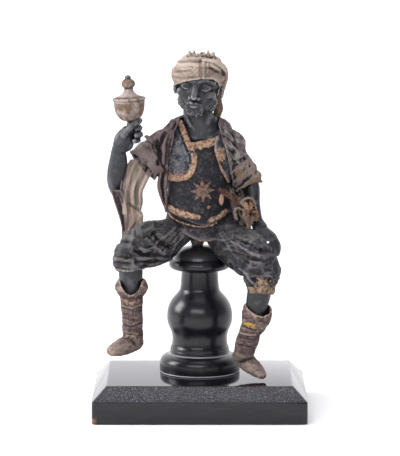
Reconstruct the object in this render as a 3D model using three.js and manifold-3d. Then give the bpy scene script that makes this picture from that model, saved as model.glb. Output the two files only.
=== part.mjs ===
// A seated wise man from a nativity group, on a turned pedestal and a bevelled plinth.
// Millimetres, +Z up, +Y towards the back, origin at the middle of the plinth's underside.
// "Right" and "left" in names are the figure's own; its right hand is raised, at -X.

import * as THREE from "three";
import { mergeVertices } from "three/addons/utils/BufferGeometryUtils.js";
import Module from "manifold-3d";

const wasm = await Module();
wasm.setup();

// Driving dimensions
const GAP = 0.3; // play between two pieces that touch
const CLOTH = 2.2; // thickness of the glued cloth
const LEATHER = 1.4; // how far the bodice stands out over the trunk
const VEST_OUT = 3.6; // the waistcoat's outer face over the trunk
const PLINTH = { width: 210, depth: 164, edge: 21, bevel: 14, soft: 4 };
const SEAT = { low: 35 + GAP, top: 162, sides: 17 }; // pedestal: foot, dome and segments
const SEAT_AT = new THREE.Matrix4().makeTranslation(0, 10, 0);
const HEAD = 54; // chin to crown
const HEAD_AT = new THREE.Vector3(-2, 1, 323);
const HEAD_TURN = new THREE.Euler(0.05, 0.1, -0.34); // nod, tilt and turn, in radians
const GRIP = 3.4; // radius that the fist leaves for the goblet's stem
const DOME = 0.7; // angle, in radians, at which a rounded end has its one ring of points
const FINE = 0.15; // detail below this is dropped
const FRONT = new THREE.Vector3(0, -1, 0);
const UP = new THREE.Vector3(0, 0, 1);

// The goblet's place: the middle of its stem, leaning outwards.
const GOBLET_AT = new THREE.Matrix4()
  .makeRotationFromEuler(new THREE.Euler(0, -0.05, 0))
  .setPosition(-67.6, -19.5, 283);

// Helpers

const point = (p) => new THREE.Vector3(...p);

// A smooth curve through a list of numbers, read at a share from 0 to 1 of the list.
function smooth(values) {
  const curve = new THREE.SplineCurve(values.map((v, i) => new THREE.Vector2(i, v)));
  return (share) => curve.getPoint(Math.min(Math.max(share, 0), 1)).y;
}

// A closed three.js geometry as a solid, with its faces turned outwards.
function solid(geometry) {
  const bare = geometry.clone();
  for (const name of ["normal", "uv"]) bare.deleteAttribute(name);
  const merged = mergeVertices(bare, 1e-4);
  const triVerts = new Uint32Array(merged.index.array);
  const build = () =>
    new wasm.Manifold(
      new wasm.Mesh({ numProp: 3, vertProperties: merged.attributes.position.array, triVerts }),
    );
  const made = build();
  if (made.volume() > 0) return made;
  for (let i = 0; i < triVerts.length; i += 3) {
    [triVerts[i + 1], triVerts[i + 2]] = [triVerts[i + 2], triVerts[i + 1]];
  }
  return build();
}

const join = (first, ...rest) => rest.reduce((whole, next) => whole.add(next), first);
const cut = (first, ...rest) => rest.reduce((whole, next) => whole.subtract(next), first);

function geometryOf(points, index) {
  const flat = points.flatMap((p) => [p.x, p.y, p.z]);
  const geometry = new THREE.BufferGeometry();
  geometry.setAttribute("position", new THREE.Float32BufferAttribute(flat, 3));
  geometry.setIndex(index);
  return geometry;
}

// A skin over rings of points, closed at both ends by a fan about the ring's middle.
function skin(rings) {
  const sides = rings[0].length;
  const points = rings.flat();
  const index = [];
  for (let j = 0; j + 1 < rings.length; j++) {
    for (let i = 0; i < sides; i++) {
      const a = j * sides + i;
      const b = j * sides + ((i + 1) % sides);
      index.push(a, b, b + sides, a, b + sides, a + sides);
    }
  }
  for (const end of [0, rings.length - 1]) {
    const middle = new THREE.Vector3();
    for (const p of rings[end]) middle.addScaledVector(p, 1 / sides);
    const hub = points.push(middle) - 1;
    for (let i = 0; i < sides; i++) {
      const a = end * sides + i;
      const b = end * sides + ((i + 1) % sides);
      index.push(...(end ? [a, b, hub] : [b, a, hub]));
    }
  }
  return solid(geometryOf(points, index));
}

// A limb or tube of cloth along a smooth line. Wide and deep are half widths at the line's
// points, deep being the way that faces "facing". Folds adds height at a share of the
// length and an angle from that side. Domes round the ends off by that many millimetres.
function tube(form) {
  const { line, wide, deep = wide, facing = FRONT, sides, rings, folds, domes, grow = 0 } = form;
  const spine = new THREE.CatmullRomCurve3(line.map(point), false, "catmullrom", 0.5);
  const across = smooth(wide);
  const through = smooth(deep);
  const [start, end] = domes ?? [0, 0];
  const ring = (share, size, slide) => {
    const tangent = spine.getTangent(share);
    const middle = spine.getPoint(share).addScaledVector(tangent, slide);
    const to = facing.clone().addScaledVector(tangent, -facing.dot(tangent)).normalize();
    const side = new THREE.Vector3().crossVectors(to, tangent);
    return Array.from({ length: sides }, (_, i) => {
      const angle = (2 * Math.PI * i) / sides;
      const extra = grow + (folds ? folds(share, angle) : 0);
      return middle
        .clone()
        .addScaledVector(to, Math.cos(angle) * (through(share) + extra) * size)
        .addScaledVector(side, Math.sin(angle) * (across(share) + extra) * size);
    });
  };
  const cap = (share, height) => ring(share, Math.sin(DOME), height * Math.cos(DOME));
  const all = [];
  if (start) all.push(cap(0, -start - grow));
  for (let j = 0; j <= rings; j++) {
    const flat = (j === 0 && !start) || (j === rings && !end);
    all.push(ring(j / rings, 1, flat ? grow * (j ? 1 : -1) : 0));
  }
  if (end) all.push(cap(1, end + grow));
  return skin(all);
}

// Cloth of even thickness over a surface place(u, v).
function sheet(place, across, down) {
  const front = [];
  const back = [];
  const columns = across + 1;
  const step = 1e-3;
  for (let j = 0; j <= down; j++) {
    for (let i = 0; i < columns; i++) {
      const [u, v] = [i / across, j / down];
      const here = place(u, v);
      const du = place(Math.min(u + step, 1), v).sub(place(Math.max(u - step, 0), v));
      const dv = place(u, Math.min(v + step, 1)).sub(place(u, Math.max(v - step, 0)));
      const normal = du.cross(dv).normalize().multiplyScalar(CLOTH / 2);
      front.push(here.clone().add(normal));
      back.push(here.sub(normal));
    }
  }
  const index = [];
  const quad = (a, b, c, d) => index.push(a, b, c, a, c, d);
  const other = front.length;
  for (let j = 0; j < down; j++) {
    for (let i = 0; i < across; i++) {
      const a = j * columns + i;
      quad(a, a + 1, a + 1 + columns, a + columns);
      quad(other + a + 1, other + a, other + a + columns, other + a + 1 + columns);
    }
  }
  const low = down * columns;
  for (let i = 0; i < across; i++) {
    quad(i + 1, i, other + i, other + i + 1);
    quad(low + i, low + i + 1, other + low + i + 1, other + low + i);
  }
  for (let a = 0; a < low; a += columns) {
    const b = a + columns;
    quad(a, b, other + b, other + a);
    quad(b + across, a + across, other + a + across, other + b + across);
  }
  return solid(geometryOf([...front, ...back], index));
}

function ball({ at, size, sides, grow }) {
  const shape = new THREE.SphereGeometry(1, sides, Math.ceil(sides * 0.6));
  shape.rotateX(Math.PI / 2);
  shape.scale(...size.map((s) => s + grow));
  shape.translate(...at);
  return solid(shape);
}

// Everything inside an outline drawn in X and Z, between two depths.
function prism(outline, nearY, farY) {
  const shape = new THREE.Shape(outline.map(([x, z]) => new THREE.Vector2(x, z)));
  const block = new THREE.ExtrudeGeometry(shape, { depth: farY - nearY, bevelEnabled: false });
  block.rotateX(Math.PI / 2);
  block.translate(0, farY, 0);
  return solid(block);
}

// Stand

// A rectangle with round corners, as a ring of points at one height.
function frameRing(width, depth, radius, z) {
  const ring = [];
  for (const corner of [0, 1, 2, 3]) {
    const sideX = corner === 0 || corner === 3 ? 1 : -1;
    const sideY = corner < 2 ? 1 : -1;
    for (const share of [0, 1 / 3, 2 / 3, 1]) {
      const angle = ((corner + share) * Math.PI) / 2;
      const x = sideX * (width / 2 - radius) + radius * Math.cos(angle);
      const y = sideY * (depth / 2 - radius) + radius * Math.sin(angle);
      ring.push(new THREE.Vector3(x, y, z));
    }
  }
  return ring;
}

function plinth() {
  const { width, depth, edge, bevel, soft } = PLINTH;
  return skin([
    frameRing(width, depth, soft, 0),
    frameRing(width, depth, soft, edge),
    frameRing(width - 2 * bevel, depth - 2 * bevel, soft / 4, edge + bevel),
  ]);
}

// A solid turned about an upright axis, from a profile of radius and height, then placed.
function turned(profile, segments, curveSteps, place) {
  const shape = new THREE.LatheGeometry(profile.getPoints(curveSteps), segments);
  return solid(shape.rotateX(Math.PI / 2)).transform(place.elements);
}

// Adds the domed seat to a profile, from its rim to its top, "out" wider all over.
function seatCurve(profile, out) {
  profile.quadraticCurveTo(29.9 + out, 148.8, 25.2 + out, 149.4 + out);
  profile.bezierCurveTo(21 + out, 157 + out, 10, SEAT.top + out, 0, SEAT.top + out);
}

// Baluster: foot with a quarter round, collar, swelling body, neck, and a domed seat.
function pedestal() {
  const profile = new THREE.Path();
  profile.moveTo(0, SEAT.low).lineTo(39.8, SEAT.low).lineTo(39.8, 44);
  profile.quadraticCurveTo(39.4, 52, 30.8, 53.8);
  profile.lineTo(29.4, 54.6).lineTo(29.4, 59.6).lineTo(27.6, 61.2);
  profile.bezierCurveTo(26.4, 71, 32.8, 80, 32.6, 91);
  profile.bezierCurveTo(32.4, 103, 22.5, 108, 19.8, 118);
  profile.quadraticCurveTo(17.6, 127, 17.5, 135.5);
  profile.lineTo(18.6, 137.4);
  profile.quadraticCurveTo(30, 137.6, 30, 143.5);
  seatCurve(profile, 0);
  return turned(profile, SEAT.sides, 3, SEAT_AT);
}

// Head

// Height of a soft bump centred at x, z, of half widths sx and sz.
const bump = (x, z, sx, sz) => Math.exp(-((x / sx) ** 2 + (z / sz) ** 2));

// How far the face stands out over a plain oval, in shares of the head's height. Eyes lie
// half way down, the nose ends half way from them to the chin, the mouth a third below.
function features(x, z) {
  const side = Math.abs(x);
  const nose = 0.1 * bump(x, z + 0.21, 0.06, 0.06) + 0.075 * bump(x, z + 0.11, 0.045, 0.1);
  const wings = 0.045 * bump(side - 0.065, z + 0.225, 0.035, 0.035);
  const eyes = 0.03 * bump(side - 0.15, z, 0.05, 0.035) - 0.06 * bump(side - 0.15, z, 0.09, 0.06);
  const brows = 0.022 * bump(side - 0.15, z - 0.085, 0.1, 0.03);
  const lips = 0.04 * bump(x, z + 0.305, 0.1, 0.026) + 0.04 * bump(x, z + 0.36, 0.085, 0.028);
  const chinHair = 0.045 * bump(x, z + 0.47, 0.2, 0.07);
  const lipHair = 0.03 * bump(side - 0.09, z + 0.275, 0.07, 0.025);
  return nose + wings + eyes + brows + lips + chinHair + lipHair;
}

// The head about its own middle, face towards -Y, with rings and sides set close in front.
function skull({ sides, rings, grow, face }) {
  const width = smooth([0.17, 0.27, 0.315, 0.345, 0.36, 0.37, 0.365, 0.33, 0.24, 0.08]);
  const front = smooth([0.26, 0.34, 0.355, 0.36, 0.365, 0.375, 0.38, 0.36, 0.28, 0.1]);
  const back = smooth([0.02, 0.12, 0.2, 0.29, 0.38, 0.44, 0.46, 0.43, 0.33, 0.12]);
  const all = [];
  for (let j = 0; j <= rings; j++) {
    const share = j / rings;
    const z = HEAD * (share - 0.5) + grow * (2 * share - 1);
    const ring = [];
    for (let i = 0; i < sides; i++) {
      const turn = (2 * Math.PI * i) / sides;
      const angle = turn - 0.35 * Math.sin(turn);
      const x = Math.sin(angle) * HEAD * width(share);
      const ahead = Math.cos(angle);
      const relief = face && ahead > 0 ? features(x / HEAD, z / HEAD) * Math.min(1, 2 * ahead) : 0;
      const reach = HEAD * ((ahead > 0 ? front(share) : back(share)) + relief);
      const out = new THREE.Vector3(Math.sin(angle), -ahead, 0).multiplyScalar(grow);
      ring.push(new THREE.Vector3(x, -ahead * reach, z).add(out));
    }
    all.push(ring);
  }
  return skin(all);
}

function headAndEars({ sides, rings, grow = 0, face }) {
  const ear = { size: [2.6, 4.6, 7], sides: 6, grow };
  const ears = [-1, 1].map((side) => ball({ at: [side * 20.4, 2, -3], ...ear }));
  const place = new THREE.Matrix4().makeRotationFromEuler(HEAD_TURN).setPosition(HEAD_AT);
  return join(skull({ sides, rings, grow, face }), ...ears).transform(place.elements);
}

// Neck and the bare top of the chest.
function bust(grow = 0) {
  return tube({
    line: [[-3, 6, 312], [-3, 6, 300], [-1, 7, 288], [2, 7, 277], [4, 7, 267], [4, 8, 258]],
    wide: [13.5, 14.2, 15, 18.5, 20, 19],
    deep: [12, 12.5, 13.5, 14, 14, 11],
    sides: 12,
    rings: 5,
    grow,
  });
}

// Head, neck and chest are one piece of wood.
const head = () => join(headAndEars({ sides: 16, rings: 17, face: true }), bust());

// The room that the turban leaves: the same shape, simpler and a little larger.
const headRoom = () => headAndEars({ sides: 12, rings: 8, grow: 1.7, face: false });

// Turban: three wraps over each other, a frayed crown, a band by the ear and a tail.
function turban() {
  const wraps = (share, angle) =>
    1.6 * Math.abs(Math.sin(Math.PI * (2.6 * share + 0.3 * Math.sin(angle + 0.6)))) - 1;
  const roll = tube({
    line: [[-1, 8, 314], [-1.2, 5, 324], [-1, 3, 334], [-0.4, 3, 343], [0.5, 3, 350]],
    wide: [22.5, 26, 26.8, 23.6, 16.5],
    deep: [24, 28, 28.5, 24.5, 16],
    facing: new THREE.Vector3(0, -0.92, 0.4),
    sides: 13,
    rings: 6,
    folds: wraps,
    domes: [0, 2.5],
  });
  const fringe = [];
  const points = 7;
  for (let i = 0; i < points; i++) {
    const turn = (2 * Math.PI * i) / points;
    const tall = 5.6 + 1.4 * Math.sin(5 * turn);
    const spike = new THREE.ConeGeometry(3.4, tall, 3).rotateX(Math.PI / 2);
    spike.translate(0.5 + 11.5 * Math.sin(turn), 3 - 10 * Math.cos(turn), 350 + tall / 2);
    fringe.push(solid(spike));
  }
  const band = tube({
    line: [[20, -8, 330], [22.5, -3, 320], [22, 2, 312]],
    wide: [6, 5, 4],
    deep: [3.5, 3, 2.5],
    facing: new THREE.Vector3(1, -0.3, 0),
    sides: 8,
    rings: 2,
    domes: [2, 2],
  });
  const tail = tube({
    line: [[13, 16, 322], [17, 17, 308], [18.2, 17, 297], [16.5, 18, 288]],
    wide: [5.5, 5, 5, 3.5],
    deep: [4, 3.5, 3.5, 2.5],
    sides: 8,
    rings: 3,
    domes: [2, 2],
  });
  const brow = [[-45, 300], [-45, 319], [-27, 322], [-10, 328], [2, 330.5], [13, 330.5]];
  brow.push([18, 327], [19, 300]);
  const room = [prism(brow, -60, -4), headRoom(), bust(GAP), mantle(GAP)];
  return cut(join(roll, ...fringe, band, tail), ...room);
}

// Body and clothes

// The trunk from hips to shoulders, which every garment is an even distance from.
function trunk({ grow = 0, folds } = {}) {
  const line = [[0, 7, 167], [0, 6, 186], [-2, 3, 203], [-1.5, 3, 222], [-1, 5, 245]];
  line.push([-0.5, 9, 264], [0, 11, 279]);
  return tube({
    line,
    wide: [34, 35.5, 30, 28.6, 30, 32.5, 25],
    deep: [29, 28, 23.8, 21.6, 20.6, 18, 12.5],
    sides: 13,
    rings: 6,
    domes: [0, 8],
    folds,
    grow,
  });
}

function tunic() {
  const neckline = [[-60, 320], [-22, 286], [-10.5, 266.5], [20, 274], [24, 286], [60, 320]];
  const hem = [[-60, 188], [-35, 188.5], [-22, 181], [-9, 174.5], [4, 170.4], [19, 173.4]];
  hem.push([30, 183], [60, 184]);
  const waist = [[-60, 202], [-33, 201], [-4, 191], [6, 188], [26, 197], [60, 202]];
  const below = (outline) => prism([...outline, [60, 150], [-60, 150]], -60, 60);
  const bodice = cut(trunk({ grow: LEATHER }), below(waist));
  const whole = cut(join(trunk(), bodice), prism(neckline, -60, 13), below(hem));
  return cut(whole, bust(GAP), seat(GAP), thigh(-1, GAP), thigh(1, GAP));
}

// Short open waistcoat: round-cornered front at -X, pointed at +X, closed at the back.
function vest() {
  const right = [[-60, 228], [-29.6, 229], [-11, 232], [-5.5, 237.5], [-3.3, 247], [-3.3, 255.5]];
  right.push([-9.5, 258], [-21.5, 285], [-60, 300]);
  const left = [[60, 226], [28.2, 226], [14.6, 259.6], [15, 268], [24, 286], [60, 300]];
  const back = [[-60, 226], [60, 226], [60, 284], [-60, 284]];
  const fronts = [right, left].map((outline) => prism(outline, -60, 6));
  const shape = join(...fronts, prism(back, 5, 60));
  const shell = cut(trunk({ grow: VEST_OUT }), trunk({ grow: LEATHER + GAP }));
  return cut(shell.intersect(shape), bust(GAP));
}

// The coat's outer face round the trunk, in shallow upright pleats.
function mantle(grow = 0) {
  const pleats = (share, angle) => 1.2 * Math.sin(9 * angle + 3 * share) * (1.1 - share);
  return trunk({ grow: VEST_OUT + GAP + 1.3 * CLOTH + grow, folds: pleats });
}

// Coat: a mantle open in front, two sleeves, and the long slit sleeve thrown over the arm.
function coat() {
  const right = [[-60, 300], [-19, 300], [-21.5, 288], [-23.5, 262], [-22.5, 226], [-24.5, 186]];
  right.push([-31, 206], [-35, 228], [-60, 228]);
  const left = [[24, 300], [60, 300], [60, 226], [34, 226], [30, 240], [28.5, 262], [24, 284]];
  const back = [[-60, 300], [60, 300], [60, 232], [33, 226], [28, 200], [30, 178]];
  back.push(...back.map(([x, z]) => [-x, z]).reverse());
  const shape = join(prism(right, -60, 9), prism(left, -60, 9), prism(back, 8, 60));
  const rightSleeve = tube({
    line: [[-21, 10, 274], [-36, 8, 264], [-46, 3, 252], [-54.5, -1, 242]],
    wide: [11, 14, 16.6, 17.8],
    deep: [11, 14, 15, 14.5],
    sides: 11,
    rings: 4,
    domes: [5, 0],
    folds: (share, angle) => 1.1 * Math.sin(4 * angle + 7 * share) * share,
  });
  const mouth = tube({
    line: [[-49, 2, 251], [-57, -2, 239]],
    wide: [9, 14.6],
    deep: [8, 12],
    sides: 8,
    rings: 1,
    domes: [4, 0],
  });
  const leftSleeve = tube({
    line: [[20, 12, 273], [30.5, 11, 265], [35.6, 9, 252], [41, 6, 238], [48.5, 3, 225]],
    wide: [11, 12.4, 12.4, 13.4, 13],
    deep: [11, 13, 13, 13, 11.5],
    sides: 10,
    rings: 6,
    domes: [5, 0],
    folds: (share, angle) => 1.3 * Math.sin(2 * angle + 16 * share) * Math.min(1, 2 * share),
  });
  const sleeves = [cut(rightSleeve, mouth), leftSleeve, hangingSleeve()];
  const whole = join(mantle().intersect(shape), ...sleeves);
  const inside = [trunk({ grow: VEST_OUT + GAP }), bust(GAP), rightArmCore(GAP), leftArmCore(GAP)];
  return cut(whole, ...inside, thigh(-1, GAP), thigh(1, GAP));
}

// The slit sleeve hangs from the upper arm, round the elbow and down to the thigh.
function hangingSleeve() {
  const outer = smooth([-66, -74, -84, -84.5, -80, -76.5, -77.5]);
  const inner = smooth([-48, -47, -51, -55, -57, -57.5, -73]);
  const hang = smooth([-5, -9, -15, -17, -18, -19, -20]);
  const place = (u, v) => {
    const x = THREE.MathUtils.lerp(outer(v), inner(v), u);
    const pleat = 2.2 * Math.sin(11 * u + 1.5 * v) * Math.min(1, 0.4 + v);
    return new THREE.Vector3(x, hang(v) + pleat + 28 * (u - 0.5) ** 2, 252 - 85 * v);
  };
  return sheet(place, 6, 5);
}

// Sash tied at the hip, with two loops, a fanned end and a narrow end.
function sash() {
  const strip = (line, wide, deep) => tube({ line, wide, deep, sides: 6, rings: 2, domes: [2, 2] });
  const loop = (at, size, turn) => {
    const ring = new THREE.TorusGeometry(size, 2, 4, 8).rotateX(Math.PI / 2);
    return solid(ring.rotateZ(turn).translate(...at));
  };
  const knot = join(
    strip([[20, -15, 215], [31, -20, 213], [40, -22, 208]], [3.5, 4.5, 6], [3, 3, 4]),
    strip([[41, -22, 210], [46, -22.5, 199], [49, -22, 186]], [5, 7.5, 5], [3.6, 3.4, 2.4]),
    strip([[41, -22, 208], [50, -22, 204], [56.5, -21.5, 196]], [5, 6, 4.5], [3.4, 3.2, 2.6]),
    loop([49.5, -22, 209.5], 5.2, 0.3),
    loop([39, -21.5, 197], 5.4, -0.2),
  );
  return cut(knot, trunk({ grow: VEST_OUT + GAP }), leftArmCore(GAP), thigh(1, GAP));
}

// Arms and hands

function finger(line, radius) {
  const wide = line.map(() => radius);
  return tube({ line, wide, sides: 5, rings: 2, domes: [radius * 0.8, radius * 0.8] });
}

// Upper arm and forearm of the raised arm.
function rightArmCore(grow = 0) {
  const upper = tube({
    line: [[-46, 4, 256], [-60, 1, 240], [-74, -1, 225], [-81, -3, 219]],
    wide: [9, 9, 8.6, 7],
    sides: 8,
    rings: 2,
    domes: [3, 5],
    grow,
  });
  const line = [[-82, -4, 219], [-82.4, -6, 228], [-81, -8, 240], [-79.8, -11, 250]];
  line.push([-79.6, -14, 259], [-76, -16, 267]);
  const forearm = tube({
    line,
    wide: [6.6, 8.6, 9.4, 8.8, 7.4, 8.6],
    deep: [7, 8.2, 8.4, 7.6, 6.2, 6],
    sides: 10,
    rings: 5,
    domes: [5, 0],
    grow,
  });
  return join(upper, forearm);
}

// Raised arm; the fist closes on the goblet's stem with the palm towards +X.
function rightArm() {
  const palm = tube({
    line: [[-77, -16, 263], [-73, -18, 272], [-69, -19, 282]],
    wide: [8.8, 9, 5.6],
    deep: [6.4, 7.4, 5.4],
    sides: 8,
    rings: 3,
    domes: [4, 3],
  });
  const fingers = [0, 1, 2].map((i) => {
    const z = 280.5 - 6 * i;
    const x = -60.5 - 0.4 * i * i;
    return finger([[-68, -12.5, z - 1], [x - 1, -14, z], [x, -19, z], [x - 2.5, -23.5, z - 0.3]], 3.1);
  });
  const thumb = finger([[-74, -23, 274], [-68.5, -25.5, 282], [-62, -23.5, 287]], 3.2);
  const stem = new THREE.CylinderGeometry(GRIP, GRIP, 12, 10).rotateX(Math.PI / 2);
  const grip = solid(stem).transform(GOBLET_AT.elements);
  return cut(join(rightArmCore(), palm, ...fingers, thumb), grip);
}

// Lowered arm from inside the sleeve to the wrist.
function leftArmCore(grow = 0) {
  return tube({
    line: [[43.5, 7, 244], [51.5, 2, 222], [53, -3, 207], [55.5, -11, 191], [60, -17, 183]],
    wide: [7, 7.4, 6.5, 6.2, 7],
    deep: [8, 7.4, 6.5, 5.4, 5],
    sides: 10,
    rings: 5,
    domes: [3, 3],
    grow,
  });
}

// The lowered hand lies on the thigh, thumb and fingers making a ring.
function leftHand() {
  const palm = tube({
    line: [[56.5, -13, 188], [62, -18, 181.5], [68.5, -24, 175.5], [73, -28, 171]],
    wide: [6.4, 8.6, 9.6, 8],
    deep: [5, 5.4, 5, 4],
    facing: new THREE.Vector3(0.35, -0.75, 0.55),
    sides: 8,
    rings: 3,
    domes: [4, 3],
  });
  const tips = [
    [[67, -30, 170], [69.5, -35, 163.5], [68, -36.5, 158.5]],
    [[71.5, -28, 172], [75, -33.5, 164.5], [72.5, -36, 157]],
    [[75, -25, 174], [79, -30.5, 167], [77, -33.5, 160]],
  ];
  const thumb = finger([[57, -19, 179], [60.5, -27, 172], [66, -33, 163.5]], 3.2);
  return join(palm, thumb, ...tips.map((line) => finger(line, 3.3)));
}

function leftArm() {
  return cut(join(leftArmCore(), leftHand()), thigh(1, GAP), knee(1, GAP));
}

// Covered goblet in the raised hand

// Bowl on a short stem, hollow to the rim.
function goblet() {
  const shape = new THREE.Path();
  shape.moveTo(0, -5.5).lineTo(2.7, -5.5).lineTo(2.5, 4).lineTo(4.2, 6.6);
  shape.bezierCurveTo(11, 7.6, 15, 13, 15.9, 24.5);
  shape.lineTo(15.9, 26.2).lineTo(13.7, 26.2);
  shape.bezierCurveTo(13, 16, 8, 11.5, 0, 11.2);
  return turned(shape, 15, 3, GOBLET_AT);
}

function gobletLid() {
  const profile = new THREE.Path();
  profile.moveTo(0, 26.2 + GAP).lineTo(15.9, 26.2 + GAP);
  profile.quadraticCurveTo(17.2, 28, 15, 29.4);
  profile.bezierCurveTo(9, 32.5, 5.5, 34.5, 4.2, 40).lineTo(4.2, 41);
  profile.quadraticCurveTo(8.4, 45.4, 2.2, 49.2).lineTo(2, 51).lineTo(0, 52.2);
  return turned(profile, 15, 2, GOBLET_AT);
}

// Legs, each built from a side of -1 for the figure's right or 1 for its left

const creases = (share, angle) =>
  share * (1.4 * Math.sin(3 * angle + 9 * share) + 0.6 * Math.sin(5 * angle));

// Hips, clear of the dome but for a small bulge in the middle that rests on it.
function seat(grow = 0) {
  const hips = ball({ at: [0, 15, 182], size: [30, 21, 14], sides: 12, grow });
  return join(hips, ball({ at: [-3, 11, 170], size: [8, 12, 11], sides: 8, grow }));
}

// Baggy cloth of one thigh, from the hip forwards to the knee.
function thigh(side, grow = 0) {
  const right = {
    line: [[-12, 14, 182], [-33, -9, 172], [-52, -28, 168], [-66, -43, 163]],
    wide: [17, 18.5, 18, 15],
    deep: [12, 20, 22.5, 17],
  };
  const left = {
    line: [[12, 14, 182], [31, -9, 168], [47, -26, 158.5], [60, -40, 153]],
    wide: [17, 18.5, 18, 15.5],
    deep: [12, 20, 23.5, 18],
  };
  const shape = side < 0 ? right : left;
  return tube({ ...shape, facing: UP, sides: 10, rings: 4, domes: [4, 4], folds: creases, grow });
}

// Cloth gathered below one knee.
function knee(side, grow = 0) {
  const right = {
    line: [[-68.5, -43, 168], [-68.5, -46, 157], [-67, -47, 146]],
    wide: [13, 16, 12.8],
    deep: [12, 14, 12.6],
  };
  const left = {
    line: [[61, -41, 158], [60.5, -45, 144], [59.6, -46, 128]],
    wide: [14, 18, 12.2],
    deep: [12, 14.5, 12.6],
  };
  const shape = side < 0 ? right : left;
  return tube({ ...shape, sides: 10, rings: 3, domes: [5, 0], folds: creases, grow });
}

function breeches() {
  const whole = join(seat(), thigh(-1), thigh(1), knee(-1), knee(1));
  const room = new THREE.Path();
  room.moveTo(0, 100).lineTo(30 + GAP, 100).lineTo(30 + GAP, 143.5);
  seatCurve(room, GAP);
  return cut(whole, turned(room, SEAT.sides, 3, SEAT_AT), calf(-1, GAP), calf(1, GAP));
}

function calf(side, grow = 0) {
  const right = [[-67.2, -46, 155], [-67.2, -46, 138], [-66.8, -44.5, 121]];
  const left = [[60.2, -45, 136], [57.6, -44.8, 120], [54.2, -43.6, 102]];
  const line = side < 0 ? right : left;
  return tube({ line, wide: [11.4, 11.5, 9.9], sides: 10, rings: 2, grow });
}

// A soft boot: turned-down cuff open in front, creased shaft and a plain foot.
function boot({ shaft, wide, foot, high, opening }) {
  const wrinkles = (share, angle) => (share > 0.35 ? 0.7 * Math.sin(30 * share + 2 * angle) : 0);
  const leg = tube({ line: shaft, wide, sides: 10, rings: 7, folds: wrinkles, domes: [0, 4] });
  const shoe = tube({
    line: foot,
    wide: [7.4, 8.8, 8.2, 5.6],
    deep: high,
    facing: UP,
    sides: 8,
    rings: 3,
    domes: [6, 4],
  });
  return cut(join(leg, shoe), prism(opening, -80, -46));
}

function rightBoot() {
  const line = [[-66.6, -46, 137], [-66.6, -45.5, 129], [-66.6, -45, 119], [-66.3, -43.5, 107]];
  line.push([-65.8, -42, 93], [-65.5, -39, 80], [-65, -37, 71]);
  const shape = boot({
    shaft: line,
    wide: [13.8, 16.4, 11.6, 10.6, 10.3, 10.1, 9.4],
    foot: [[-62, -31, 71.5], [-70, -41, 70], [-80, -51, 67.6], [-87, -56.5, 66.2]],
    high: [7.2, 8.2, 6.2, 3.6],
    opening: [[-79, 142], [-75, 128], [-67, 122.5], [-59, 128], [-55, 142]],
  });
  return cut(shape, calf(-1, GAP));
}

function leftBoot() {
  const line = [[56.6, -44.6, 110], [55.6, -44.2, 101], [53.4, -43.6, 92.5], [49.8, -42, 85]];
  line.push([46.6, -38, 74], [43.6, -34, 63], [42, -30, 56]);
  const shape = boot({
    shaft: line,
    wide: [13.2, 14.6, 14, 10.6, 10.8, 10, 8.6],
    foot: [[38.5, -23, 53.5], [45.5, -31.5, 50.5], [55, -39.5, 44.8], [62, -45, 40.6]],
    high: [7.2, 8.2, 6.2, 3.4],
    opening: [[42, 116], [48, 108], [66, 100.5], [71, 104], [72, 116]],
  });
  return cut(shape, calf(1, GAP));
}

// Scene graph

// A cut leaves slivers behind now and then; the piece is the largest body, its finest
// edges merged.
function largest(made) {
  const bodies = made.decompose();
  return bodies.reduce((best, next) => (next.volume() > best.volume() ? next : best)).simplify(FINE);
}

function toGeometry(made) {
  const mesh = made.getMesh();
  const stride = mesh.numProp;
  const count = mesh.vertProperties.length / stride;
  const flat = new Float32Array(count * 3);
  for (let i = 0; i < count; i++) {
    flat.set(mesh.vertProperties.subarray(i * stride, i * stride + 3), i * 3);
  }
  const geometry = new THREE.BufferGeometry();
  geometry.setAttribute("position", new THREE.BufferAttribute(flat, 3));
  geometry.setIndex(new THREE.BufferAttribute(new Uint32Array(mesh.triVerts), 1));
  geometry.computeVertexNormals();
  return geometry;
}

const finish = (color, roughness) => new THREE.MeshStandardMaterial({ color, roughness });
const ebonised = finish(0x17161a, 0.25);
const skinPaint = finish(0x23242b, 0.45);
const giltWood = finish(0x9a785c, 0.6);
const suede = finish(0x6a574a, 0.8);

const figure = new THREE.Group();
function add(name, made, material) {
  const mesh = new THREE.Mesh(toGeometry(largest(made)), material);
  mesh.name = name;
  figure.add(mesh);
}

add("plinth", plinth(), ebonised);
add("pedestal", pedestal(), ebonised);
add("breeches", breeches(), finish(0x3a3a3f, 0.85));
add("tunic", tunic(), finish(0x1d2029, 0.5));
add("vest", vest(), finish(0x2a2c33, 0.55));
add("coat", coat(), finish(0x5d504c, 0.85));
add("sash", sash(), finish(0x8a5138, 0.8));
add("head", head(), skinPaint);
add("turban", turban(), finish(0xb39a85, 0.85));
add("right_arm", rightArm(), skinPaint);
add("left_arm", leftArm(), skinPaint);
add("goblet", goblet(), giltWood);
add("goblet_lid", gobletLid(), giltWood);
add("right_calf", calf(-1), skinPaint);
add("left_calf", calf(1), skinPaint);
add("right_boot", rightBoot(), suede);
add("left_boot", leftBoot(), suede);

export default figure;
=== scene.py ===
# %% [markdown]
# # A seated wise man from a nativity group
#
# The real figure is carved, clothed and painted by hand: painted wood for the head, arms
# and calves, glued and stiffened cloth and leather for the clothes, and a black polished
# stand. This lesson dresses the plain solids of the part with those surfaces. The solids
# are loaded first and stay as they are; each visible piece is modelled over its solid.
#
# Right and left are the figure's own: its right hand, at -X, holds up the goblet.

import bpy
import numpy as np
from mathutils import Matrix, Vector

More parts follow.
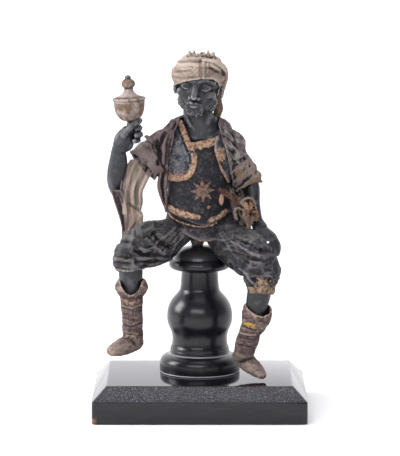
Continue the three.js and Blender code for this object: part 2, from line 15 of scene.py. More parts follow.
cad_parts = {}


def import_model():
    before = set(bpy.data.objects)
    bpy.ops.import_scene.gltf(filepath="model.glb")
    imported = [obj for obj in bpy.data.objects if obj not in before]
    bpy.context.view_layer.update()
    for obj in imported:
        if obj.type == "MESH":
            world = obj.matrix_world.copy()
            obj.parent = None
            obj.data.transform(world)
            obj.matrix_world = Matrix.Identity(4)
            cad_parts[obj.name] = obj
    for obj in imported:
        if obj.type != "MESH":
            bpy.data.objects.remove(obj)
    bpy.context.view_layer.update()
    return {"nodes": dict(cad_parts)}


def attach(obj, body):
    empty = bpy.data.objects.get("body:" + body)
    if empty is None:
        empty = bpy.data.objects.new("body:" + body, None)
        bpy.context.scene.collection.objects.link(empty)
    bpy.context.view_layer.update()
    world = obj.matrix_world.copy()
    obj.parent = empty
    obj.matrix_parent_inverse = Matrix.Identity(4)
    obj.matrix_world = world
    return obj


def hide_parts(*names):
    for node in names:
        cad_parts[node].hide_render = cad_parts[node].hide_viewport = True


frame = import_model()
print("solids:", sorted(frame["nodes"]))

# %% [markdown]
# ## Working in millimetres
#
# Blender keeps metres, and this figure's sizes read best in millimetres. Two small
# helpers therefore read a mesh's points as a table of millimetres and write them back.
# Reading all points at once lets numpy shape thousands of them in one step, which is
# how folds and carving are pushed in further down.

# %% Read and write points
MM = 0.001


def points_of(piece):
    flat = np.empty(3 * len(piece.data.vertices))
    piece.data.vertices.foreach_get("co", flat)
    return flat.reshape(-1, 3) / MM


def normals_of(piece):
    flat = np.empty(3 * len(piece.data.vertices), dtype=np.float32)
    piece.data.vertex_normals.foreach_get("vector", flat)
    return flat.reshape(-1, 3).astype(float)


def set_points(piece, points):
    piece.data.vertices.foreach_set("co", (points * MM).ravel())
    piece.data.update()


# %% [markdown]
# ## Selecting and finishing
#
# Most operators act on whatever is selected, and the loaded solids are selected to begin
# with. `only` makes one object the sole selection. `modify` adds a modifier, sets it and
# applies it at once, so what is measured afterwards is the real mesh.

# %% Select one object, apply one modifier
def only(*pieces):
    bpy.ops.object.select_all(action="DESELECT")
    for piece in pieces:
        piece.select_set(True)
    bpy.context.view_layer.objects.active = pieces[0]


def modify(piece, kind, **settings):
    only(piece)
    modifier = piece.modifiers.new(kind.title(), kind)
    for name, value in settings.items():
        setattr(modifier, name, value)
    bpy.ops.object.modifier_apply(modifier=modifier.name)
    return piece


def select_everything():
    bpy.ops.mesh.select_all(action="SELECT")


def edit(piece, *steps):
    """Runs edit-mode steps on one piece, starting with its whole mesh selected."""
    only(piece)
    bpy.ops.object.mode_set(mode="EDIT")
    select_everything()
    for step in steps:
        step()
    bpy.ops.object.mode_set(mode="OBJECT")
    return piece


def merge_doubles():
    bpy.ops.mesh.remove_doubles(threshold=0.00001)


def face_outwards():
    bpy.ops.mesh.normals_make_consistent(inside=False)


def close_holes():
    bpy.ops.mesh.fill_holes(sides=0)


def pull(*millimetres):
    """Extrudes what is selected by so much along x, y and z."""
    move = {"value": [v * MM for v in millimetres]}
    bpy.ops.mesh.extrude_region_move(TRANSFORM_OT_translate=move)


# %% [markdown]
# ## Smooth curves through a few numbers
#
# A profile, the width of a sleeve along its length, or the line of an arm is given by a
# handful of values. A Catmull-Rom curve passes through each of them, which suits
# measured sizes better than a Bezier, whose handles lie off the shape.

# %% A curve through values
def through(values, share):
    values = np.asarray(values, dtype=float)
    last = len(values) - 1
    at = np.clip(share, 0, 1) * last
    i = np.minimum(at.astype(int), last - 1)
    t = at - i
    if values.ndim > 1:
        t = t[:, None]
    before, here = values[np.maximum(i - 1, 0)], values[i]
    ahead, after = values[i + 1], values[np.minimum(i + 2, last)]
    bend = 2 * before - 5 * here + 4 * ahead - after
    swing = 3 * (here - ahead) + after - before
    return here + 0.5 * t * (ahead - before + t * (bend + t * swing))


def unit(vectors):
    return vectors / np.maximum(np.linalg.norm(vectors, axis=-1, keepdims=True), 1e-9)


# %% [markdown]
# ## Cloth and limbs from a grid
#
# A sheet of cloth starts as Blender's grid, whose two directions, u across and v down,
# are then laid over a surface. The grid's own UV map keeps those directions. Rolled round
# until its sides meet, the same grid is a tube: an arm, a leg or a sleeve. A primitive
# cylinder could be scaled to a limb too, but it would keep a straight middle line and one
# width.

# %% Lay a grid over a surface
def sheet(name, columns, rows, place):
    bpy.ops.object.select_all(action="DESELECT")
    bpy.ops.mesh.primitive_grid_add(x_subdivisions=columns, y_subdivisions=rows, size=1)
    piece = bpy.context.object
    piece.name = name
    flat = points_of(piece) * MM + 0.5
    set_points(piece, place(flat[:, 0], flat[:, 1]))
    return piece


# %% Roll a grid into a tube along a line
CAP = 0.08  # the share of a tube's length that the dome at either end takes


def tube_points(form, u, v):
    """Points of a tube: v runs along it, u round it, starting at the side it faces.

    A form has a line, its half widths, and if need be its half depths, the length of its
    two domes, the direction it faces, folds, and an even growth.
    """
    line, wide = form["line"], form["wide"]
    deep = form.get("deep", wide)
    caps = form.get("domes", (0, 0))
    share = np.clip((v - CAP) / (1 - 2 * CAP), 0, 1) if any(caps) else v
    size, slide = np.ones_like(v), np.zeros_like(v)
    for cap, start in ((caps[0], v), (caps[1], 1 - v)):
        if cap:
            turn = np.clip(start / CAP, 0, 1) * np.pi / 2
            size = size * np.sin(turn)
            slide = slide + cap * np.cos(turn) * (-1 if start is v else 1)
    middle = through(line, share)
    tangent = unit(through(line, share + 0.002) - through(line, share - 0.002))
    facing = np.asarray(form.get("facing", (0, -1, 0)), dtype=float)
    to = unit(facing - (tangent @ facing)[:, None] * tangent)
    side = np.cross(to, tangent)
    angle = 2 * np.pi * u
    extra = form["folds"](share, angle) if "folds" in form else 0.0
    extra = extra + form.get("grow", 0)
    ahead = np.cos(angle) * (through(deep, share) + extra) * size
    aside = np.sin(angle) * (through(wide, share) + extra) * size
    return middle + to * ahead[:, None] + side * aside[:, None] + tangent * slide[:, None]


def tube(name, around=48, along=48, **form):
    piece = sheet(name, around, along, lambda u, v: tube_points(form, u, v))
    return edit(piece, merge_doubles, close_holes, face_outwards)


# %% [markdown]
# ## Blocking out and blending
#
# A carver blocks out big forms and then softens where they meet. The same is done here:
# simple closed forms are joined, and a voxel Remesh makes one even skin round them all,
# whatever they overlap. Smoothing then rounds the joints. An even skin also gives the
# next steps enough points to carve with.

# %% Join forms into one skin
def blend(name, forms, voxel, rounds=0, strength=0.5):
    only(*forms)
    if len(forms) > 1:
        bpy.ops.object.join()
    piece = bpy.context.object
    piece.name = piece.data.name = name
    modify(piece, "REMESH", mode="VOXEL", voxel_size=voxel * MM)
    if rounds:
        modify(piece, "SMOOTH", factor=strength, iterations=rounds)
    return piece


def ball(at, size, turn=(0, 0, 0)):
    bpy.ops.object.select_all(action="DESELECT")
    place = Vector(at) * MM
    bpy.ops.mesh.primitive_uv_sphere_add(segments=32, ring_count=20, radius=MM, location=place)
    piece = bpy.context.object
    piece.scale = size
    piece.rotation_euler = turn
    bpy.ops.object.transform_apply()
    return piece


def rod(line, radius, around=20, along=24):
    """A round-ended rod, its radius one number or a list along the line."""
    radii = np.broadcast_to(radius, (max(2, np.size(radius)),)).astype(float)
    ends = (radii[0], radii[-1])
    return tube("rod", around, along, line=line, wide=radii, domes=ends)


# %% [markdown]
# ## Cloth with a thickness, and cutting to an outline
#
# Glued cloth and leather show their edges, so a sheet gets a thickness from Solidify. An
# outline drawn from in front, pulled through as a prism, cuts garments to shape the way
# a pattern does. Boolean needs closed forms on both sides, which sheet and prism are.

# %% Thickness, prism and cut
def thicken(piece, thick, offset):
    return modify(piece, "SOLIDIFY", thickness=thick * MM, offset=offset, use_even_offset=True)


def prism(outline, near, far):
    """An outline in x and z, pulled through from one y to another."""
    mesh = bpy.data.meshes.new("prism")
    corners = [(x * MM, near * MM, z * MM) for x, z in outline]
    mesh.from_pydata(corners, [], [range(len(corners))])
    piece = bpy.data.objects.new("prism", mesh)
    bpy.context.collection.objects.link(piece)
    return edit(piece, lambda: pull(0, far - near, 0), select_everything, close_holes, face_outwards)


def trim(piece, cutter, operation="DIFFERENCE"):
    modify(piece, "BOOLEAN", operation=operation, object=cutter, solver="EXACT")
    only(cutter)
    bpy.ops.object.delete()
    return piece


# %% [markdown]
# ## Carving with strokes
#
# Folds, wrinkles and features are pushed into the skin by strokes: a path, a radius of
# influence, and a height that is negative for a groove. A stroke drawn on the front is
# given in x and z alone and touches only the faces that look forwards, as when one draws
# on the figure from in front. Masks for colour and relief are drawn in the same way.

# %% Strokes
def distance_to_path(points, path):
    path = np.asarray(path, dtype=float)
    nearest = np.full(len(points), 1e9)
    for a, b in zip(path[:-1], path[1:]):
        run = b - a
        t = np.clip(((points - a) @ run) / max(run @ run, 1e-9), 0, 1)
        nearest = np.minimum(nearest, np.linalg.norm(points - a - t[:, None] * run, axis=1))
    return nearest


def stroke(piece, path, radius, height, side=-1):
    """side: the y direction that strokes given in x and z act on."""
    points, normals = points_of(piece), normals_of(piece)
    flat = len(path[0]) == 2
    near = distance_to_path(points[:, [0, 2]] if flat else points, path)
    weight = np.clip(1 - (near / radius) ** 2, 0, 1) ** 2
    if flat:
        weight = weight * np.clip(0.5 + 2 * side * normals[:, 1], 0, 1)
    set_points(piece, points + normals * (weight * height)[:, None])


def strokes(piece, rows):
    """Many strokes, each given as path, radius and height."""
    for path, radius, height in rows:
        stroke(piece, path, radius, height)


# %% Masks
FRONT = 9  # masks drawn from in front end at this y


def ramp(values, zero, one):
    """0 up to the first limit, 1 past the second, and even between them."""
    return np.clip((values - zero) / (one - zero), 0, 1)


def band(values, middle, half):
    """1 about the middle, falling off steeply on either side."""
    return np.exp(-(((values - middle) / half) ** 4))


def near_line(points, path, width):
    """1 on a line drawn on the front, 0 at its width and beyond."""
    near = distance_to_path(points[:, [0, 2]], path)
    return np.clip(1.6 - 1.6 * near / width, 0, 1) * (points[:, 1] < FRONT)


def trimmings(points, *lines, spots=()):
    """The strongest of several lines, each given as weight, path and width, and spots."""
    return np.max([w * near_line(points, path, wide) for w, path, wide in lines] + [*spots], axis=0)


def near_spot(points, x, z, wide, tall):
    """1 in the middle of an oval drawn on the front, 0 beyond it."""
    far = np.hypot((points[:, 0] - x) / wide, (points[:, 2] - z) / tall)
    return np.clip(2.4 - 2 * far, 0, 1) * (points[:, 1] < FRONT)


# %% Noise
SCATTER = np.array([127.1, 311.7, 74.7])  # unrelated steps, so that no pattern shows


def noise(points, size, seed=1):
    """Smooth random values from -1 to 1, the same on each run."""
    scaled = points / size + 17.3 * seed
    cell = np.floor(scaled)
    part = scaled - cell
    part = part * part * (3 - 2 * part)
    total = np.zeros(len(points))
    for corner in np.ndindex(2, 2, 2):
        value = np.sin((cell + corner) @ SCATTER + seed) * 43758.5453
        weight = np.prod(np.where(corner, part, 1 - part), axis=1)
        total += weight * (2 * (value - np.floor(value)) - 1)
    return total


def noises(points, *layers):
    """A sum of noises, each given as height, size and seed."""
    return sum(height * noise(points, size, seed) for height, size, seed in layers)


def crests(points, size, seed):
    """Noise that is folded over at its middle, which makes sharp crests."""
    return 1 - 2.2 * np.abs(noise(points, size, seed))


def stirred(points, reach, size, seed):
    """Points moved about by noise, so that a pattern on them runs less straight."""
    return points + reach * np.stack([noise(points, size, seed + i) for i in range(3)], axis=1)


# %% Push points out, and store values on them
def push(piece, heights):
    """Moves every point along its normal by its own height."""
    set_points(piece, points_of(piece) + normals_of(piece) * heights[:, None])


def store(piece, **named):
    """Keeps values per point on the mesh, for a material to read by their names."""
    for name, values in named.items():
        layer = piece.data.attributes.new(name, "FLOAT", "POINT")
        layer.data.foreach_set("value", np.asarray(values, dtype=np.float32))


def store_wear_and_shade(piece, scale, reaches=(8, 70)):
    """Stores how far each point stands out of its surroundings, as 0 to 1 about 0.5.

    The surface is smoothed a little and then a lot, and what it loses each time tells the
    fine ridges and the broad folds, which count alike. Materials read it for rubbed wear
    and dirt, and for painted shade in hollows and painted highlight on raised folds.
    """
    points, normals = points_of(piece), normals_of(piece)
    ends = np.empty(2 * len(piece.data.edges), dtype=np.int64)
    piece.data.edges.foreach_get("vertices", ends)
    a, b = ends[0::2], ends[1::2]
    total = len(points)
    count = np.maximum(np.bincount(ends, minlength=total), 1)
    soft, proud = points.copy(), np.zeros(total)
    for step in range(1, max(reaches) + 1):
        for axis in range(3):
            line = soft[:, axis]
            near = np.bincount(a, line[b], total) + np.bincount(b, line[a], total)
            soft[:, axis] = 0.3 * line + 0.7 * near / count
        if step in reaches:
            height = np.einsum("ij,ij->i", points - soft, normals)
            height -= np.median(height)
            proud += height / (2 * scale * np.sqrt(step / reaches[0]))
    store(piece, proud=np.clip(0.5 + proud, 0, 1))


# %% [markdown]
# ## Handing a piece over
#
# Each finished piece is shaded smooth, takes its finish and moves with the body, and the
# solid it stands for is hidden. Its object stays at the origin with its place in its mesh,
# like the solids.


def hand_over(piece, name, node, material, angle=None):
    piece.name = piece.data.name = name
    only(piece)
    if angle is None:
        bpy.ops.object.shade_smooth()
    else:
        bpy.ops.object.shade_smooth_by_angle(angle=np.radians(angle))
    piece.data.materials.clear()
    piece.data.materials.append(material)
    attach(piece, "root")
    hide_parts(node)


# %% [markdown]
# ## Finishes
#
# Every finish here is old paint, gilding, leather or cloth, and they age alike: colour
# varies in clouds, raised places are rubbed, hollows keep dirt. Hollows are also painted
# darker as painted shade, and raised folds paler as painted highlight. Each material is
# therefore a stack: a ground colour, clouds over it, then rubbing and painted highlight
# where the stored "proud" value is high and noise lets it through. The patterns read
# Object coordinates, so they sit still on the piece, and are worked in millimetres.

# %% Small helpers for node trees
def tint(code):
    """A screen colour such as 0x8A6A50 as the linear values that shaders take."""
    parts = np.array([code >> 16, code >> 8 & 255, code & 255]) / 255
    return tuple(np.where(parts > 0.04045, ((parts + 0.055) / 1.055) ** 2.4, parts / 12.92))


class Tree:
    """A node tree, with short names for the nodes that are used most."""

    def __init__(self, tree):
        self.nodes, self.links = tree.nodes, tree.links

    def feed(self, socket, value):
        """Links a node's output to a socket, or sets the socket to a plain value."""
        if isinstance(value, bpy.types.NodeSocket):
            self.links.new(value, socket)
        else:
            socket.default_value = value

    def node(self, kind, sockets, output=0, **settings):
        node = self.nodes.new("ShaderNode" + kind)
        for name, value in settings.items():
            setattr(node, name, value)
        for socket, value in sockets.items():
            self.feed(node.inputs[socket], value)
        return node.outputs[output]

    def spread(self, value, low, high, to_low=0.0, to_high=1.0):
        limits = {"From Min": low, "From Max": high, "To Min": to_low, "To Max": to_high}
        return self.node("MapRange", {"Value": value, **limits}, "Result")

    def combine(self, operation, a, b):
        return self.node("Math", {0: a, 1: b}, operation=operation)

    def axis(self, vector, name):
        return self.node("SeparateXYZ", {0: vector}, name)


class Finish(Tree):
    """A material built up layer by layer over one shader."""

    def __init__(self, name, colour, roughness, specular=0.5):
        self.material = bpy.data.materials.new(name)
        self.material.use_nodes = True
        super().__init__(self.material.node_tree)
        self.shader = self.nodes["Principled BSDF"].inputs
        self.shader["Roughness"].default_value = roughness
        self.shader["Specular IOR Level"].default_value = specular
        self.place = self.node("TexCoord", {}, "Object")
        self.colour = (*colour, 1)

    def noise(self, size, detail=3, stretch=(1, 1, 1)):
        """Noise with grains of about that many millimetres, wider along a stretch."""
        scale = [1000 / (size * s) for s in stretch]
        place = self.node("Mapping", {"Vector": self.place, "Scale": scale})
        return self.node("TexNoise", {"Vector": place, "Scale": 1, "Detail": detail}, "Fac")

    def stored(self, name):
        return self.node("Attribute", {}, "Fac", attribute_name=name)

    def height(self):
        """The height over the table in millimetres, which is Object Z."""
        return self.combine("MULTIPLY", self.axis(self.place, "Z"), 1000)

    def between(self, value, a, b, c, d):
        """1 from b to c, fading to 0 at a and d."""
        return self.combine("MULTIPLY", self.spread(value, a, b), self.spread(value, d, c))

    def near(self, at, inner, outer):
        """1 within the inner distance of a point in millimetres, 0 beyond the outer."""
        ends = {0: self.place, 1: [v * MM for v in at]}
        far = self.node("VectorMath", ends, "Value", operation="DISTANCE")
        return self.spread(far, outer * MM, inner * MM)

    def patchy(self, value, grains, low, high, loose=0.3):
        """A value whose edge is broken up by noise, as 0 below low and 1 above high."""
        broken = self.combine("ADD", value, self.spread(grains, 0.3, 0.7, -loose, loose))
        return self.spread(broken, low, high)

    def layer(self, colour, *amounts):
        """Lays a colour over what is there, by one amount or by the product of two."""
        amount = self.combine("MULTIPLY", *amounts) if len(amounts) == 2 else amounts[0]
        colour = tint(colour) if isinstance(colour, int) else colour
        sockets = {"Factor": amount, "A": self.colour, "B": (*colour, 1)}
        self.colour = self.node("Mix", sockets, "Result", data_type="RGBA")

    def mottle(self, colour, size, detail, low, high, amount=1.0, stretch=(1, 1, 1)):
        """Lays a colour in patches of about that many millimetres."""
        self.layer(colour, self.spread(self.noise(size, detail, stretch), low, high, 0, amount))

    def mark(self, colour, stored, low, high, loose=0.3, grains=None):
        """Lays a colour wherever the piece stored that it lies, with a broken edge."""
        self.layer(colour, self.patchy(self.stored(stored), grains or self.grains, low, high, loose))

    def bump(self, height, depth):
        """Lets a height of so many millimetres catch the light."""
        normal = self.shader["Normal"]
        under = {"Normal": normal.links[0].from_socket} if normal.is_linked else {}
        sockets = {"Height": height, "Strength": 1, "Distance": depth * MM, **under}
        self.feed(normal, self.node("Bump", sockets))

    def done(self):
        self.feed(self.shader["Base Color"], self.colour)
        return self.material


# %% [markdown]
# ### Black polished wood
#
# The stand is stained black and polished. Its colour is nearly nothing; what is seen is
# the light it mirrors, so the gloss does the work. Fine dusty grain runs along it. The
# plinth's chamfer is speckled and ends in a dark line, and at one lower corner the brown
# wood shows through. Both sit at known heights, so the material reads its coordinates. The
# pedestal's foot edge and ledge also sit at known heights, and get thin painted highlights.

# %% Ebonised wood
def ebonised_wood(name, grain, gloss, dusty):
    finish = Finish(name, (0.0035, 0.0031, 0.0055), gloss, 0.42)
    fibres = finish.noise(1.1, 5, grain)
    finish.layer((0.04, 0.039, 0.05), finish.spread(fibres, 0.48, 0.72, 0, dusty))
    finish.mottle((0.03, 0.016, 0.018), 9, 4, 0.6, 0.75, dusty, grain)
    finish.bump(fibres, 0.012 * dusty)
    return finish, finish.height()


def plinth_polish():
    finish, height = ebonised_wood("plinth wood", (14, 1, 1), 0.09, 0.3)
    chamfer = finish.between(height, 21.4, 22.2, 34, 34.6)
    specks = finish.spread(finish.noise(0.55, 3, (2.4, 1.4, 1)), 0.54, 0.64)
    finish.layer((0.12, 0.117, 0.145), chamfer, specks)
    dark_line = finish.between(height, 20.2, 20.8, 21.2, 21.8)
    finish.layer((0.001, 0.001, 0.0015), dark_line)
    bare_corner = finish.near((-105, -82, 3), 1, 8)
    finish.layer((0.16, 0.07, 0.035), finish.patchy(bare_corner, finish.noise(4, 4), 0.45, 0.7))
    return finish.done()


def pedestal_polish():
    finish, height = ebonised_wood("pedestal wood", (1, 1, 12), 0.27, 0.28)
    finish.layer((0.02, 0.019, 0.021), finish.between(height, 148, 151, 170, 172))
    # Thin pale lines at the foot's lower edge and at the ledge are painted highlights: they stand in for
    # the backdrop mirrored in these polished edges.
    for low, high, worn in ((35.2, 36.4, 0.9), (53.7, 54.2, 0.3)):
        edge = finish.between(height, low - 0.4, low, high, high + 0.4)
        finish.layer((0.62, 0.61, 0.64), edge, worn)
    return finish.done()


plinth_wood, pedestal_wood = plinth_polish(), pedestal_polish()
print("finishes:", plinth_wood.name, pedestal_wood.name)


# %% [markdown]
# ### Old cloth, leather and gilding
#
# One recipe serves all the dull finishes: a ground colour, clouds of a second colour,
# hollows darkened by dirt and painted shade, ridges paler from rubbing and painted
# highlight, and a fine grain that catches the light. What is special to a piece, such as
# stripes or gold trimming, is laid over it afterwards.

# %% One recipe for aged surfaces
def aged(name, ground, clouds, hollow, rubbed_and_lit, roughness, size, grain, relief, zones=()):
    finish = Finish(name, tint(ground), roughness, 0.22)
    finish.clouds = finish.noise(size, 4)
    finish.grains = finish.noise(grain, 3)
    finish.layer(clouds, finish.spread(finish.clouds, 0.4, 0.65))
    for stored, colour in zones:
        finish.mark(colour, stored, 0.35, 0.85, grains=finish.clouds)
    proud = finish.stored("proud")
    # Hollows darker: dirt, and painted shade in the broad folds.
    finish.layer(hollow, finish.spread(proud, 0.52, 0.2))
    # Raised places paler: rubbed wear, and a painted highlight on the crests of broad folds.
    finish.layer(rubbed_and_lit, finish.patchy(proud, finish.clouds, 0.5, 0.95, 0.15))
    finish.layer(rubbed_and_lit, finish.patchy(proud, finish.grains, 0.8, 1.1))
    finish.bump(finish.grains, relief)
    return finish


def gilded(finish, stored, gold=0x9A806A, brown=0x664838, low=0.4, high=0.62, loose=0.38):
    """Worn gold leaf over a brown ground, wherever the piece stored that it lies."""
    where = finish.patchy(finish.stored(stored), finish.noise(2.6, 4), low, high, loose)
    finish.layer(brown, where)
    finish.layer(gold, where, finish.spread(finish.noise(3, 5), 0.42, 0.56))
    finish.layer(0x35261E, where, finish.spread(finish.noise(1.5, 5), 0.56, 0.7, 0, 0.5))


# %% [markdown]
# ## The plinth
#
# A rectangular block with a broad chamfer round its top. It is drawn as a plane, its
# corners are rounded, and it is pulled up twice: straight for the edge, and inwards for
# the chamfer. A beveled cube would come close, but its chamfer could not pass from
# rounded corners below to crisp mitres above.

# %% Plinth
PLINTH = {"width": 210, "depth": 164, "edge": 21, "chamfer": 14, "corner": 4}


def plinth():
    width, depth, step = PLINTH["width"], PLINTH["depth"], PLINTH["chamfer"]
    bpy.ops.object.select_all(action="DESELECT")
    bpy.ops.mesh.primitive_plane_add(size=1)
    block = bpy.context.object
    block.scale = (width * MM, depth * MM, 1)
    bpy.ops.object.transform_apply()
    inwards = (1 - 2 * step / width, 1 - 2 * step / depth, 1)
    edit(
        block,
        lambda: bpy.ops.mesh.bevel(affect="VERTICES", offset=PLINTH["corner"] * MM, segments=5),
        lambda: pull(0, 0, PLINTH["edge"]),
        lambda: pull(0, 0, step),
        lambda: bpy.ops.transform.resize(value=inwards, center_override=(0, 0, 0)),
        select_everything,
        close_holes,
        face_outwards,
    )
    modify(block, "BEVEL", width=0.5 * MM, segments=3, limit_method="ANGLE", angle_limit=0.5)
    hand_over(block, "plinth_wood", "plinth", plinth_wood, angle=25)


plinth()

# %% [markdown]
# ## The pedestal
#
# A turner cut this baluster on a lathe: foot with a quarter round, collar, swelling
# body, neck, and a domed seat over a bead. Spin is Blender's lathe. The profile is drawn
# once as a line of points, from the foot up, with Bezier curves where the gouge swept.

# %% A turner's profile
def drawn(*parts):
    """The points of a profile: a pair is a point, and a list is a curve to its last point.

    The list holds the curve's number of steps and then its Bezier points, of any degree.
    """
    profile = []
    for part in parts:
        if isinstance(part, tuple):
            profile.append(part)
            continue
        steps, *points = part
        shares = np.linspace(0, 1, steps + 1)[1:, None]
        level = [np.broadcast_to(np.array(p, float), (steps, 2)) for p in (profile[-1], *points)]
        while len(level) > 1:
            level = [a + (b - a) * shares for a, b in zip(level, level[1:])]
        profile += [tuple(p) for p in level[0]]
    return profile


def turned(name, profile, steps, place):
    """Spins a profile of radius and height, in millimetres, about Z."""
    mesh = bpy.data.meshes.new(name)
    line = [(x * MM, 0, z * MM) for x, z in profile]
    mesh.from_pydata(line, [(i, i + 1) for i in range(len(line) - 1)], [])
    piece = bpy.data.objects.new(name, mesh)
    bpy.context.collection.objects.link(piece)
    turn = {"angle": 2 * np.pi, "center": (0, 0, 0), "axis": (0, 0, 1)}
    edit(piece, lambda: bpy.ops.mesh.spin(steps=steps, **turn))
    edit(piece, merge_doubles, face_outwards)
    mesh.transform(place)
    return piece


# %% Pedestal
SEAT_Y = 10
PEDESTAL_FOOT = 35.3
PEDESTAL_TOP = 162


def pedestal():
    profile = drawn(
        (0, PEDESTAL_FOOT), (39.2, PEDESTAL_FOOT), (39.8, 35.9), (39.8, 43.6),
        [12, (39.7, 51.4), (31.6, 53.4)],
        (31.2, 53.9), (30.0, 54.0), (29.5, 54.4), (29.5, 57.2), (29.1, 57.5),
        (29.2, 58), (29.0, 60.4), (28.2, 61.3),
        [6, (27.2, 63.5), (27.2, 68.4)],
        [16, (27.4, 79), (32.4, 80), (32.5, 90.5)],
        [24, (32.5, 110), (20.2, 112.5), (19.3, 119.5)],
        [8, (18.4, 126), (18.1, 135.4)],
        (18.4, 136.6), (19.1, 137.3),
        [12, (30.3, 137.8), (30.4, 143.4)],
        [8, (30.3, 148.6), (25.6, 149.3)],
        [16, (25, 158), (15, PEDESTAL_TOP), (0, PEDESTAL_TOP)],
    )
    piece = turned("pedestal", profile, 120, Matrix.Translation((0, SEAT_Y * MM, 0)))
    modify(piece, "BEVEL", width=0.25 * MM, segments=2, limit_method="ANGLE", angle_limit=0.6)
    hand_over(piece, "pedestal_wood", "pedestal", pedestal_wood, angle=30)


pedestal()

# %% [markdown]
# ## The head
#
# Head, neck and the bare top of the chest are one piece of carved and painted wood. The
# face is a calm one of this lesson's own, on the proportions of a drawing book: eyes half
# way down, the nose ending half way from the eyes to the chin. A sculptor would block it
# out and refine it in two stages, and so does this cell: big forms first, well blended,
# then eyelids, nostrils and lips with a finer skin. Face and head are modelled upright
# about their own middle, then set in place, turned and tilted as the figure holds it.

# %% Painted wood
def painted_wood(name):
    finish = Finish(name, (0.006, 0.0065, 0.009), 0.4)
    clouds, grains = finish.noise(7, 4), finish.noise(1.1, 3)
    proud = finish.stored("proud")
    finish.layer((0.015, 0.016, 0.023), finish.spread(clouds, 0.42, 0.66))
    # Darker in hollows: dirt, and painted shade.
    finish.layer((0.002, 0.002, 0.003), finish.spread(proud, 0.45, 0.2))
    # Paler raised places: rubbed paint, and a painted highlight on the broad forms.
    finish.layer((0.064, 0.064, 0.078), finish.patchy(proud, clouds, 0.52, 0.95, 0.25))
    finish.layer((0.26, 0.255, 0.26), finish.patchy(proud, grains, 0.82, 1.25, 0.35))
    finish.feed(finish.shader["Roughness"], finish.spread(clouds, 0.3, 0.7, 0.34, 0.55))
    finish.bump(grains, 0.05)
    return finish.done()


skin_paint = painted_wood("blue-black painted wood")
print("finish:", skin_paint.name)

# %% Big forms of the head
HEAD_PLACE = (
    Matrix.Translation(Vector((-0.8, 1, 322.4)) * MM)
    @ Matrix.Rotation(0.05, 4, "X")
    @ Matrix.Rotation(0.09, 4, "Y")
    @ Matrix.Rotation(-0.17, 4, "Z")
    @ Matrix.Diagonal((1.15, 1.04, 1.1, 1))
)


def both(make):
    """The same form on either side of the face."""
    return [make(-1), make(1)]


def head_block():
    forms = [
        ball((0, 3.5, 7), (19.5, 23.5, 20)),
        ball((0, -3.5, -7), (15.8, 15.5, 18.5)),
        ball((0, -12.5, -21.5), (7, 6.2, 5.6)),
        ball((0, -15.5, -16), (8.5, 4.6, 6)),
        rod([(0, -17.6, 5), (0, -19.6, -1), (0, -22.4, -7.5)], [2.6, 2.6, 3.2]),
        *both(lambda s: ball((s * 11.4, 0, -14), (5, 8, 8))),
        *both(lambda s: ball((s * 10.2, -10.4, -6), (7, 5.4, 6))),
        *both(lambda s: rod([(s * 2, -18.2, 5.2), (s * 7.5, -17.2, 7.2), (s * 14, -12, 5)], 3)),
        *both(lambda s: ball((s * 19.8, 2.5, -4), (2.2, 4.6, 7.2), (0.1, 0, s * 0.35))),
    ]
    return blend("head_block", forms, 0.8, 14)


def face_details(head):
    for side in (-1, 1):
        strokes(head, [
            ([(side * 7.6, -17, 0.2)] * 2, 5.6, -2.2),
            ([(side * 4.2, -15, 2)] * 2, 3.0, -1.2),
            ([(side * 12.8, -13, -12), (side * 9.5, -16, -17)], 4.2, -0.7),
            ([(side * 18, 2, -4)] * 2, 3.4, -1.0),
        ])
    forms = [head]
    for side in (-1, 1):
        eye = Vector((side * 7.7, -13.6, 0.2))
        arch = [(-4.6, -0.4), (-2.6, 1.9), (0.2, 2.5), (2.8, 1.7), (4.7, -0.3)]
        pouch = [(-4.4, -0.4), (-2.2, -1.9), (0.4, -2.3), (2.8, -1.7), (4.6, -0.3)]
        forms.append(ball(eye, (4.1, 3.6, 3.7)))
        for lid, thick in ((arch, 0.85), (pouch, 0.7)):
            bulge = [eye + Vector((x, -3.7 + 0.1 * x * x, z)) for x, z in lid]
            forms.append(rod(bulge, thick))
        forms.append(ball((side * 3.3, -20.9, -9.2), (2.1, 2.5, 1.8)))
        forms.append(rod([(side * 20.4, 5.6, -1), (side * 21.4, 4.2, 2), (side * 21, 1, 2.2)], 0.9))
    upper = [(-5.6, -18.9, -14.9), (-2, -20.4, -14.1), (0, -20.3, -14.5)]
    upper += [(2, -20.4, -14.1), (5.6, -18.9, -14.9)]
    lower = [(-4.8, -18.9, -15.8), (0, -20.4, -16.9), (4.8, -18.9, -15.8)]
    forms += [rod(upper, [0.7, 1.3, 1.3, 1.3, 0.7]), rod(lower, [0.8, 1.7, 0.8])]
    forms.append(ball((0, -22.8, -8.2), (2.9, 2.9, 2.7)))
    return blend("head_fine", forms, 0.5, 3)


# %% Short carved beard and moustache
def beard_mask(points):
    """From 0 to 1 where the beard grows: jaw, chin, and a line over the lip."""
    x, y, z = points.T
    jaw = ramp(z - 0.1 * np.abs(x), -11.5, -14.5) * ramp(y, 7, 2)
    cheek = np.clip((np.hypot(x / 10.5, (z + 9.5) / 8.2) - 1) * 4, 0, 1)
    mouth = np.clip((np.hypot(x / 7.2, (z + 15.6) / 3.4) - 1) * 3, 0, 1)
    lip = np.exp(-(((np.abs(x) - 3.6) / 3.6) ** 2 + ((z + 12.1) / 1.3) ** 2) * 1.4)
    return np.clip(jaw * cheek * mouth + lip * (y < -14), 0, 1)


